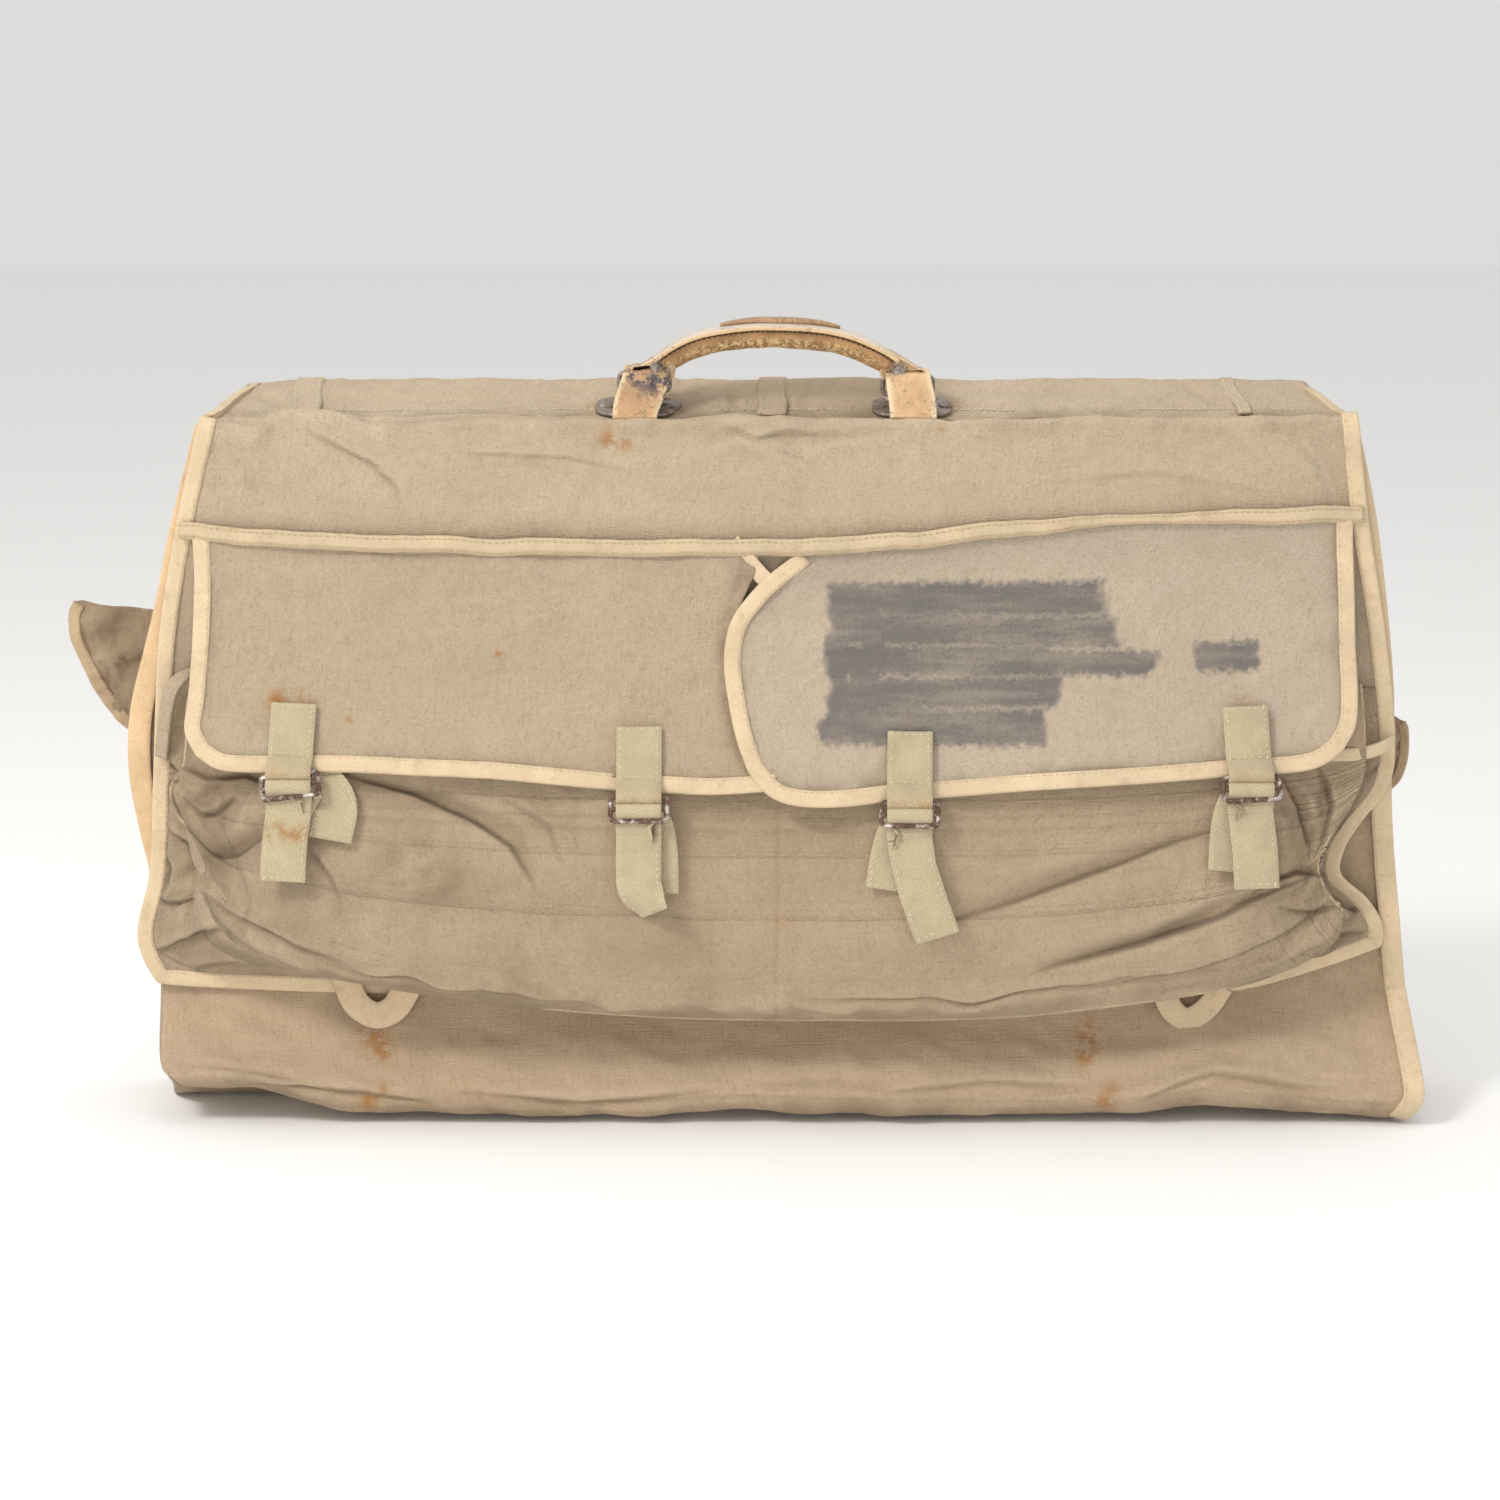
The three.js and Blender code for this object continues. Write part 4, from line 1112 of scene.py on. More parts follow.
def make_flaps():
    x, z = flap_layout(LEFT_FLAP)
    left = make_flap("left_flap_cloth", x, z, 20, [
        ([(-300, 300), (-200, 296), (-90, 306)], 22, 1.0),
        ([(-322, 322), (-250, 326), (-160, 322)], 10, 0.8),
        ([(-230, 215), (-170, 226), (-110, 212)], 12, 1.2),
        ([(-60, 330), (-40, 290), (-46, 240)], 12, 0.9),
        ([(-318, 260), (-290, 236), (-250, 224)], 12, 1.2),
        ([(-246, 250), (-236, 232), (-240, 214)], 9, 1.0),
        ([(-318, 312), (-312, 306), (-300, 304)], 5, 0.8),
        ([(-250, 324), (-170, 320), (-90, 322)], 4, -0.9),
        ([(-210, 300), (-130, 312), (-70, 308)], 5, 0.8),
    ], canvas_flap_shaded, "left_flap", "flap_left",
        [(-281, 246, 6, 1.0), (-268, 248, 4, 0.8), (-262, 243, 3, 0.8), (-157, 272, 2.2, 1.0),
         (-60, 240, 5, 0.3), (-240, 236, 2.5, 0.8)])
    x, z = flap_layout(RIGHT_FLAP)
    right = make_flap("right_flap_cloth", x, z, 30, [
        ([(240, 236), (170, 222), (110, 204)], 10, 1.3),
        ([(30, 222), (90, 214), (150, 218)], 14, 0.9),
        ([(-10, 300), (60, 318), (150, 322)], 14, 1.1),
        ([(200, 322), (250, 300), (310, 290)], 16, 1.0),
        ([(296, 244), (262, 226), (236, 212)], 9, 1.2),
        ([(-14, 250), (20, 262), (60, 258)], 13, 0.8),
    ], canvas_grey, "right_flap", "flap_right",
        [(262, 246, 4, 0.6), (74, 236, 4, 0.4), (276, 236, 3, 0.5), (60, 200, 4, 0.4)],
        overlap(x) * ease(332, 314, z))
    return left, right


left_flap, right_flap = make_flaps()
left_stitches, right_stitches = [], []
bound_edge("left_flap_tape", left_flap, ["left", "bottom"], (0, -1, 0.3), "left_flap", left_stitches,
           nodes=("flap_binding_left",))
corner_path = curve([(-23, -16.6, 336), (-16, -19.4, 328), (-9, -22.6, 320), (-3, -24.4, 314)], 24)
corner_tape = edge_tape("left_flap_corner_tape", corner_path, (-0.55, 0.0, -0.83), (0.0, -1.0, 0.1), tape,
                        TAPE_WIDTH, 2.8)
place(corner_tape, "left_flap", "binding_tape")
bound_edge("right_flap_tape", right_flap, ["left", "bottom", "-right"], (0, -1, 0.3), "right_flap",
           right_stitches, nodes=("flap_binding_right",))


# ---------- bellows pocket ----------
POCKET_TOP_Z = 254.0
PANEL_Y = -15.0  # the panel behind the pocket
POCKET_LEFT = [(-331, 254), (-333, 228), (-336, 208), (-343, 196), (-340, 182), (-330, 167), (-323.5, 151),
               (-327, 141), (-320, 122)]
POCKET_RIGHT = [(329, 254), (331, 226), (331, 204), (324, 186), (312, 168), (306, 154), (310, 140),
                (321, 126)]
POCKET_LOW = [(-320, 122), (-306, 107), (-276, 96), (-240, 88), (-185, 78.5), (-100, 68.5), (0, 64.5),
              (125, 66), (210, 75.5), (270, 86), (304, 98), (318, 110), (321, 126)]
# The pocket's outer face from the side, as (z, y).
POCKET_FACE = [(255, -26), (225, -36), (190, -49), (165, -58), (150, -62), (128, -67), (104, -67.5),
               (84, -64), (60, -58)]
POCKET_FOOT = 84.0  # the height of the lower seam that this face is drawn for


def pocket_face_y(z):
    return soft_interp(z, POCKET_FACE[::-1])


# Sharp folds as (line in x and z, width, height); the cloth stands up on the line's left.
POCKET_TUCKS = [
    ([(-244, 206), (-207, 196), (-171, 181), (-150, 168), (-140, 152)], 9, -3.6),
    ([(-336, 206), (-322, 200), (-300, 203), (-286, 198)], 7, -3.4),
    ([(-334, 190), (-324, 182), (-316, 184), (-306, 194)], 6, 3.0),
    ([(-326, 166), (-318, 158), (-304, 160), (-290, 170), (-276, 174)], 7, -3.4),
    ([(-262, 166), (-250, 152), (-244, 140)], 5, 2.2),
    ([(-322, 136), (-300, 126), (-270, 112), (-236, 104)], 7, 2.4),
    ([(-150, 192), (-128, 180), (-120, 160)], 6, 1.6),
    ([(98, 126), (130, 136), (180, 154), (225, 170), (262, 178)], 8, -3.4),
    ([(150, 98), (200, 112), (250, 128), (296, 146)], 8, -3.8),
    ([(196, 88), (240, 100), (284, 116), (306, 130)], 7, 3.0),
    ([(282, 204), (292, 186), (298, 162)], 6, -4.2),
    ([(306, 206), (312, 188), (306, 166)], 6, 4.0),
    ([(256, 194), (272, 176), (282, 152)], 6, -2.8),
    ([(270, 140), (292, 150), (308, 146)], 6, -3.4),
    ([(284, 132), (300, 128), (316, 130)], 5, 3.0),
    ([(-260, 108), (-190, 90), (-110, 80)], 6, 1.8),
    ([(20, 84), (110, 80), (200, 92)], 6, 1.6),
]


def pocket_front():
    """The pocket's front, full at the middle and slack at both ends."""
    top = [(x, POCKET_TOP_Z) for x in np.linspace(-331, 329, 9)]
    flat = patch(POCKET_LEFT, POCKET_RIGHT, top, POCKET_LOW, 229, 461)
    x, z = flat[..., 0], flat[..., 1]
    low = soft_interp(np.clip(x, -319, 320), POCKET_LOW)
    y = pocket_face_y(z - (low - POCKET_FOOT) * ease(170, 90, z) * 0.3)
    y = y + 8.0 * ease(12, 0, z - low)
    ends = bell(x, -332, 52) + bell(x, 322, 60)
    y = PANEL_Y + (y - PANEL_Y) * (1 - 0.42 * ends * ease(240, 200, z))
    grid = np.stack([x, y, z], axis=-1)
    near_left = bell(x, -333, 62)
    near_right = bell(x, 330, 62)
    lower = ease(235, 190, z)
    broad = 1.8 * waves(x, z, 230, 40, 0.9) + 0.8 * waves(x, z, 84, 41)
    h = lower * (broad + 0.40 * crumple(x, z, 60, 42, 1.2))
    h += lower * near_left * 1.6 * crumple(x, z, 62, 43, 0.8)
    h += lower * near_right * 1.6 * crumple(x, z, 64, 44, 0.9)
    add_folds(h, x, z, [
        ([(-244, 206), (-190, 192), (-150, 178), (-138, 160), (-144, 146)], 6, 3.0),
        ([(-240, 192), (-186, 182), (-150, 166)], 8, -2.0),
        ([(-320, 196), (-300, 204), (-286, 200)], 6, 3.0),
        ([(-334, 184), (-316, 196), (-306, 188), (-312, 172)], 5, 3.4),
        ([(-300, 188), (-292, 178), (-276, 176)], 6, 2.4),
        ([(-330, 150), (-316, 158), (-290, 172), (-262, 186)], 7, 3.2),
        ([(-328, 146), (-300, 150), (-272, 168)], 8, -2.4),
        ([(-300, 132), (-270, 122), (-236, 132)], 9, 1.8),
        ([(-262, 150), (-244, 138), (-232, 118)], 8, 2.0),
        ([(-318, 120), (-280, 106), (-220, 96)], 7, 1.8),
        ([(102, 128), (160, 150), (215, 168), (252, 178)], 8, 2.6),
        ([(110, 118), (170, 138), (240, 158)], 10, -1.8),
        ([(150, 100), (206, 116), (252, 132), (300, 146)], 6, 3.4),
        ([(170, 92), (240, 108), (300, 128)], 9, -2.6),
        ([(210, 118), (232, 128), (256, 138)], 5, 2.4),
        ([(276, 200), (290, 182), (294, 160)], 5, 3.6),
        ([(292, 202), (302, 184), (300, 158)], 6, -3.2),
        ([(308, 200), (306, 184), (296, 166)], 5, 3.4),
        ([(262, 190), (276, 170), (280, 150)], 6, 2.6),
        ([(314, 132), (300, 126), (290, 118)], 5, 3.0),
        ([(-120, 120), (-60, 100), (0, 96)], 14, 1.4),
        ([(30, 100), (110, 92), (190, 100)], 12, 1.6),
        ([(-260, 110), (-200, 94), (-120, 82)], 7, 2.0),
        ([(-110, 182), (-104, 150), (-112, 120)], 9, 1.1),
        ([(150, 186), (140, 160), (148, 136)], 10, 1.1),
        ([(-60, 190), (-20, 176), (40, 182)], 12, 1.0),
    ])
    rise, shadow = tucks(x, z, POCKET_TUCKS)
    h += rise
    seam = bell(x, 0, 1.6)
    h += seam * -0.6 + bell(x, 5.0, 3.0) * 0.5
    edge = np.minimum(ease(0, 7, z - low), ease(0, 10, POCKET_TOP_Z - z))
    h *= 0.25 + 0.75 * edge
    grid = pushed(grid, (0, -1, 0.1), h)
    calm = lower.copy()
    for strap_x in BUCKLE_X:
        calm *= 1 - bell(x, strap_x, 26) * ease(96, 118, z)
    grid = grid + settle(grid, 0.045, 26, 7.0) * calm[..., None]
    # Darker towards the left end and beside it, with painted shade where the bottom turns under, a dark line
    # on the middle seam and a few dark patches.
    grime_and_shade = 0.1 + 0.24 * ease(150, -120, x) + 0.5 * ease(16, 0, z - low) + 0.3 * near_left + 0.18 * seam
    rust = stain_field(x, z, [(-268, 176, 8, 0.3), (-62, 172, 7, 0.35), (66, 170, 7, 0.45),
                              (252, 178, 7, 0.35), (-70, 160, 5, 0.3), (2, 126, 4, 0.3)])
    dark = stain_field(x, z, [(230, 94, 3.5, 1.2), (-206, 162, 16, 0.9), (-190, 150, 14, 0.6)])
    marks = {"grime_and_shade": np.clip(grime_and_shade + dark, 0, 1), "rust": rust, "crease": shadow}
    obj = cloth("pocket_cloth", grid, canvas_pocket, (0, -1, 0.1), marks=marks, relief=h)
    place(obj, "front_half", "canvas", "pocket_front")
    return grid


pocket_grid = pocket_front()


# Folds of the side gussets, as the pocket's.
GUSSET_TUCKS = [
    ([(-354, 218), (-344, 206), (-338, 196)], 5, 4.0),
    ([(-352, 176), (-342, 164), (-332, 150), (-326, 144)], 6, 5.0),
    ([(-351, 200), (-345, 190), (-340, 176)], 5, -3.6),
    ([(-362, 92), (-344, 102), (-322, 114), (-308, 118)], 7, 5.0),
    ([(-360, 132), (-350, 126), (-336, 130)], 6, 3.4),
    ([(-352, 158), (-346, 146), (-350, 132)], 6, 3.0),
    ([(-340, 84), (-310, 92), (-270, 90)], 5, 3.0),
    ([(348, 214), (336, 198), (322, 176)], 6, -4.4),
    ([(338, 196), (326, 176), (316, 160)], 5, 3.4),
    ([(330, 148), (318, 140), (308, 148)], 5, -4.0),
    ([(342, 118), (328, 122), (316, 132)], 5, 5.0),
    ([(344, 106), (324, 104), (300, 96)], 5, 4.0),
    ([(326, 98), (296, 92), (256, 84)], 5, -3.0),
]


def pocket_gusset():
    """The folded strip that joins the pocket's front to the panel down both sides and along the bottom."""
    side_count, bottom_count, rows = 150, 300, 50
    seam = np.vstack([
        resample(pocket_grid[:, 0], side_count),
        resample(pocket_grid[-1], bottom_count)[1:],
        resample(pocket_grid[::-1, -1], side_count)[1:],
    ])
    inset = 8.5
    left_z = np.linspace(250, 96, side_count)
    left = np.stack([soft_interp(left_z, FRONT_LEFT) + inset, left_z], 1)
    right_z = np.linspace(106, 250, side_count)
    right = np.stack([soft_interp(right_z, FRONT_RIGHT) - inset, right_z], 1)
    low_x = np.linspace(left[-1, 0], right[0, 0], bottom_count)
    low_z = soft_interp(low_x, FRONT_BOTTOM) + inset
    join = 12
    low_z[:join] = np.linspace(left[-1, 1], low_z[join - 1], join)
    low_z[-join:] = np.linspace(low_z[-join], right[0, 1], join)
    base = np.vstack([left, np.stack([low_x, low_z], 1)[1:], right[1:]])
    base = smooth_line(base, 3)
    dent = corner_dent(base[:, 1]) * (base[:, 0] > 250)
    attach = np.stack([base[:, 0], -16.0 - DENT_DEPTH * dent, base[:, 1]], 1)
    t = np.linspace(0, 1, rows)[:, None, None]
    grid = seam[None] * (1 - t) + attach[None] * t
    s = arc_length(attach)[None, :]
    where = np.linspace(0, 1, grid.shape[1])[None, :]
    low_part = ease(0.2, 0.3, where) * ease(0.82, 0.74, where)
    belly = np.sin(math.pi * t[..., 0])
    across = t[..., 0] * 46
    h = belly * (-5.0 * (1 - low_part) - 3.5 * low_part)
    h = h + belly * (1 - low_part) * 2.6 * waves(s, across, 46, 51, 1.0, 2)
    h = h + belly * low_part * 2.2 * waves(s, across, 90, 53, 1.0)
    h = h + bell(t[..., 0], 0.42, 0.07) * -3.0 * (1 - low_part)
    rise, shadow = tucks(grid[..., 0], grid[..., 2], GUSSET_TUCKS)
    h = h + rise * belly**0.5
    grid = pushed(grid, (0, -1, -0.6), h)
    # Painted shade: darker down the sunken middle of the strip and along the bottom run, in the pocket's
    # shadow.
    grime_and_shade = 0.2 + 0.3 * belly + 0.2 * low_part
    obj = cloth("pocket_gusset_cloth", grid, canvas_pocket, (0, -1, -0.6),
                marks={"grime_and_shade": np.clip(grime_and_shade, 0, 1), "crease": shadow}, relief=h + 0 * s)
    place(obj, "front_half", "canvas", "pocket_gusset_left", "pocket_gusset_right", "pocket_bottom_gusset")


pocket_gusset()


def pocket_mouth_tapes():
    """The folded hems that show at both ends of the pocket's mouth."""
    left = curve([(-330, -22, 262), (-337.5, -24, 259), (-343.5, -25, 252), (-347, -24.5, 241),
                  (-349.5, -22, 227), (-352, -19, 211)], 50)
    right = curve([(309, -33, 212), (322, -33, 212), (333, -31, 213), (342, -27, 215),
                   (349, -19.5, 217)], 30)
    for name, path, inward, normal, material, width in (
        ("left", left, (0.9, -0.2, -0.35), (-0.25, -0.95, 0.1), canvas_flap_shaded, 8.0),
        ("right", right, (0.05, 0.1, 1.0), (0.25, -0.95, 0.1), tape, 7.5),
    ):
        piece = edge_tape(f"pocket_mouth_{name}_hem", path, inward, normal, material, width, 2.8)
        place(piece, "front_half", "binding_tape")


pocket_mouth_tapes()


# ---------- rear half ----------
# Side edges as (z, x), and the line of the low wall's front from the side, as (z, y).
BAND_LEFT = [(0, -338), (10, -343), (18, -347), (36, -353), (80, -354), (410, -354)]
BAND_RIGHT = [(0, 357), (6, 363), (17, 367), (34, 366), (52, 364), (80, 360), (116, 356), (150, 352),
              (190, 349), (250, 348), (340, 336), (410, 320)]
BAND_FRONT_Y = [(0, -37), (2.5, -39), (9, -46), (18, -47), (29, -41), (41, -30), (53, -19), (66, -11),
                (80, -7.5), (100, -6.5), (405, -6.5)]
REAR_LEFT = [(0, -338), (10, -343), (18, -347), (36, -353), (80, -354), (100, -354), (140, -358),
             (165, -363), (200, -368), (235, -366), (270, -357), (300, -349), (340, -340), (405, -322)]
BASE_Z = 0.7  # the base's face above the floor
# How far the base's front edge stands up off the floor, along x.
BAND_LIFT = [(-352, 17), (-330, 19), (-298, 18), (-262, 9), (-224, 3.5), (-100, 0.5), (-16, 5), (60, 3),
             (153, 1), (210, 5), (249, 10), (300, 3), (345, 0.5), (368, 3)]


def base_lift(x, y, z):
    """The front edge's lift, dying away towards the back and upwards."""
    return soft_interp(x, BAND_LIFT) * ease(20, -24, y) * ease(45, 4, z)


def lower_band():
    """The tray's low front wall, its belly and the base, one sheet from the inside round to the back."""
    profile = curve([(-4.5, 94), (-7, 80), (-11, 66), (-19, 53), (-30, 41), (-41, 29), (-47, 18), (-46, 9),
                     (-38, 2.2), (-26, BASE_Z), (0, BASE_Z), (30, BASE_Z), (48, 0.8)], 170)
    columns = 330
    u = np.linspace(0, 1, columns)[None, :]
    z0 = profile[:, 1][:, None]
    y0 = profile[:, 0][:, None]
    back = np.clip((y0 + 36) / 83, 0, 1)
    wider = 16.5 * ease(0.1, 1.0, back) + 5.5 * np.sin(math.pi * back)
    left = soft_interp(z0, BAND_LEFT) - wider * ease(8, 3, z0)
    right = soft_interp(z0, BAND_RIGHT)
    y = y0 + 0 * u
    right = np.where((y > -34) & (z0 < 30), np.minimum(right, 357), right)
    x = left + (right - left) * u
    z = z0 + base_lift(x, y, z0)
    grid = np.stack([x, y, z], axis=-1)
    belly = ease(-6, -26, y)
    broad = 2.2 * waves(x, z0 * 1.2, 210, 70) + 0.8 * waves(x, z0 * 1.6, 84, 71)
    h = belly * (broad + 0.35 * crumple(x, z0, 70, 72, 1.4))
    for points, width, depth in [
        ([(-340, 30), (-290, 22), (-230, 14), (-170, 18)], 6, 3.2),
        ([(-200, 22), (-120, 13), (-40, 16), (10, 12)], 6, 3.0),
        ([(-30, 20), (30, 26), (100, 18)], 6, 2.8),
        ([(80, 16), (160, 22), (236, 28)], 7, 3.2),
        ([(226, 12), (262, 22), (300, 18), (345, 24)], 6, 3.4),
        ([(-350, 60), (-320, 46), (-300, 30)], 8, 2.4),
        ([(330, 60), (338, 40), (330, 18)], 8, 2.2),
        ([(-60, 52), (-10, 44), (40, 48)], 9, 1.6),
        ([(120, 52), (200, 46), (260, 52)], 9, 1.6),
        ([(-150, 40), (-90, 34), (-30, 38)], 9, 1.6),
    ]:
        h += 0.6 * fold(x, z0, points, width, depth) * belly
    rise, shadow = tucks(x, z0 + 0 * x, [
        ([(-300, 8), (-270, 16), (-238, 18), (-200, 12)], 6, 2.6),
        ([(-180, 20), (-110, 14), (-50, 18)], 6, 2.2),
        ([(60, 18), (120, 26), (176, 24)], 6, 2.4),
        ([(210, 14), (250, 26), (310, 22)], 7, 2.8),
    ])
    h = (h + rise * belly) * ease(0, 24, x - left) * ease(0, 24, right - x)
    grid = pushed(grid, (0, -1, -0.1), h)
    grid[..., 2] = np.maximum(grid[..., 2], BASE_Z)
    # Painted shade: darker where the band turns under towards the floor, and at its top under the pocket's
    # overhang.
    grime_and_shade = np.clip(0.1 + 0.7 * ease(20, 3, z0) + 0.3 * ease(56, 74, z0), 0, 1)
    rust = stain_field(x, z, [(-232, 48, 8, 0.9), (-226, 40, 5, 0.9), (-233, 14, 6, 1.0),
                              (-224, 22, 4, 0.7), (180, 48, 8, 0.9), (186, 13, 7, 0.9), (176, 38, 5, 0.8),
                              (190, 24, 4, 0.6)])
    marks = {"grime_and_shade": grime_and_shade + 0 * x, "rust": rust, "crease": shadow * 0.6}
    obj = cloth("lower_band_cloth", grid, canvas_low, (0, -1, -0.1), marks=marks, relief=h)
    place(obj, "rear_half", "canvas", "lower_retainer", "base_gusset")


lower_band()


def rear_panel():
    """The tray's back, drawn in at the top corners."""
    rows, columns = 150, 260
    z = np.linspace(411.5, 2.0, rows)[:, None]
    u = np.linspace(-1, 1, columns)[None, :]
    reach = half_width(z) - 21 * ease(389, 412, z)
    x = reach * u
    y = np.full_like(x, REAR_Y - 0.2)
    zz = z + 0 * x
    zz = zz - 1.5 * ease(0.86, 1.0, np.abs(u)) * ease(380, 412, z)
    grid = np.stack([x, y, zz], axis=-1)
    h = 2.0 * waves(x, zz, 260, 80) + 0.8 * waves(x, zz, 90, 81) + 0.4 * crumple(x, zz, 70, 82, 1.2)
    add_folds(h, x, zz, [
        ([(-300, 300), (-120, 286), (60, 300), (300, 290)], 12, 1.6),
        ([(-280, 120), (-60, 130), (160, 112), (320, 126)], 14, 1.4),
        ([(-330, 60), (-200, 40), (-60, 50)], 10, 1.6),
        ([(40, 60), (180, 44), (330, 64)], 10, 1.5),
        ([(-40, 400), (-20, 340), (-60, 250)], 12, 1.1),
        ([(220, 400), (236, 330), (210, 240)], 12, 1.1),
    ])
    inner = np.minimum(ease(0, 30, 355 - np.abs(x)), np.minimum(ease(0, 30, zz), ease(0, 25, 412 - zz)))
    h *= inner
    grid = pushed(grid, (0, 1, 0), h)
    # Darker towards the bottom and near the edges.
    grime_and_shade = np.clip(0.15 + 0.7 * ease(60, 6, zz) + 0.3 * (1 - inner), 0, 1)
    obj = cloth("rear_panel_cloth", grid, canvas, (0, 1, 0), marks={"grime_and_shade": grime_and_shade}, relief=h)
    place(obj, "rear_half", "canvas", "rear_panel")
    return grid


rear_grid = rear_panel()
rear_stitches = []
bound_edge("rear_edge_tape", rear_grid, ["left", "bottom", "-right"], (0, 1, 0), "rear_half",
           rear_stitches, nodes=("rear_binding",), thickness=4.0)


UP = np.array([0.0, -0.25, 0.97])  # roughly square to the spine
GUSSET_SLOPE = 0.268  # its top edge rises with the spine
GUSSET_TOP_Z = 400.7
GUSSET_TOP = [(320, -8, 402.5), (315, 2, 405), (309.5, 22, 409.6), (301, 46, 414)]


def side_gusset(side):
    """Soft side wall of the tray, with a strip turned in behind the front half; and its tapes."""
    name = side_name(side)
    rows = 190
    z = np.linspace(399.5, 1.5, rows)[:, None]
    front_y = soft_interp(z, BAND_FRONT_Y)
    edge = soft_interp(z, BAND_RIGHT) if side > 0 else -soft_interp(z, REAR_LEFT)
    back = half_width(z) - 0.4
    turned = np.linspace(0, 1, 16)[None, :-1]
    wall = np.linspace(0, 1, 60)[None, :]
    high = ease(70, 100, z)
    strip_x = edge - (0.6 + 7.4 * ease(8, 34, z) + 26 * high) * (1 - turned)
    bulge = (5.0 if side < 0 else -2.0) * np.sin(math.pi * wall) * ease(405, 330, z)
    wall_x = edge + (back - edge) * ease(0.1, 1.0, wall) + bulge - 22 * wall * ease(384, 400, z)
    strip_y = front_y + 1.2 + 3.5 * (1 - turned) * (1 - high)
    wall_y = front_y + 1.2 + (REAR_Y - 2.7 - front_y) * wall
    x = side * np.concatenate([strip_x, wall_x], axis=1)
    y = np.concatenate([strip_y, wall_y], axis=1)
    u = np.concatenate([turned - 1, wall], axis=1) + 0 * x
    rise = SPINE_FRONT[1] + GUSSET_SLOPE * (y - SPINE_FRONT[0]) - GUSSET_TOP_Z
    to_spine = np.clip(rise, 0, 13) * ease(370, 400, z)
    grid = np.stack([x, y, z + base_lift(x, y, z) + to_spine], axis=-1)
    rough = 2.6 * crumple(y, z, 60, 90 + side, 0.6) + 1.4 * waves(y, z, 80, 95 + side, 0.7)
    h = ease(400, 360, z) * rough
    h = np.minimum(h * np.sin(math.pi * np.clip(u * 1.05, 0, 1)) ** 0.6, 0.4)
    facing = (side, -0.4, 0)
    grid = pushed(grid, facing, h)
    # Darker towards the bottom.
    grime_and_shade = np.clip(0.25 + 0.6 * ease(60, 4, z) + 0 * y, 0, 1)
    obj = cloth(f"rear_gusset_{name}_cloth", grid, canvas_low, facing, marks={"grime_and_shade": grime_and_shade}, relief=h)
    place(obj, "rear_half", "canvas", f"rear_gusset_{name}")
    gusset_tapes(side, name)


def gusset_tapes(side, name):
    """The tape down the gusset's front edge with its stitches, and the one across its top."""
    lowest = 1.5 if side > 0 else 98
    line_z = np.linspace(398, lowest, 190)
    line_x = soft_interp(line_z, BAND_RIGHT if side > 0 else REAR_LEFT)
    line_y = soft_interp(line_z, BAND_FRONT_Y) - 1.6
    line_z = line_z + base_lift(line_x, line_y, line_z)
    line = np.stack([line_x + side * 0.8, line_y, line_z], 1)
    along = directions(line, 3)
    normal = unit(np.cross(along, (-side, 0.0, 0.0)))
    normal = normal * np.sign(-normal[:, 1:2])
    inward = unit(np.cross(normal, along))
    inward = inward * np.sign(inward[:, :1] * -side)
    width = 12.0 if side > 0 else 13.0
    thickness = 3.6
    material = tape if side > 0 else tape_orange
    piece = edge_tape(f"gusset_tape_{name}", line, inward, normal, material, width, thickness)
    place(piece, "rear_half", "binding_tape")
    rear_stitches.append((line + inward * (width - SEAM_INSET) + normal * (thickness / 2), normal))
    top = curve([(side * x, y, z) for x, y, z in GUSSET_TOP], 40)
    across = (-side * 0.9, -0.42, 0.05)
    piece = edge_tape(f"gusset_top_tape_{name}", top, across, UP, tape_waist, 7.0, 3.2)
    place(piece, "rear_half", "binding_tape")


side_gusset(-1)
side_gusset(1)


# ---------- side wings ----------
WINGS = {
    -1: {"top": [(-350, 282), (-374, 285), (-400, 288.5), (-407, 288)],
         "slant": [(-410, 281), (-408.5, 266), (-402.5, 250), (-391, 228), (-379, 214), (-358, 203)]},
    1: {"top": [(346, 226), (354, 224), (362, 220), (366, 217)],
        "slant": [(368, 212), (368.5, 200), (367, 190), (364, 182), (358, 176), (350, 171)]},
}


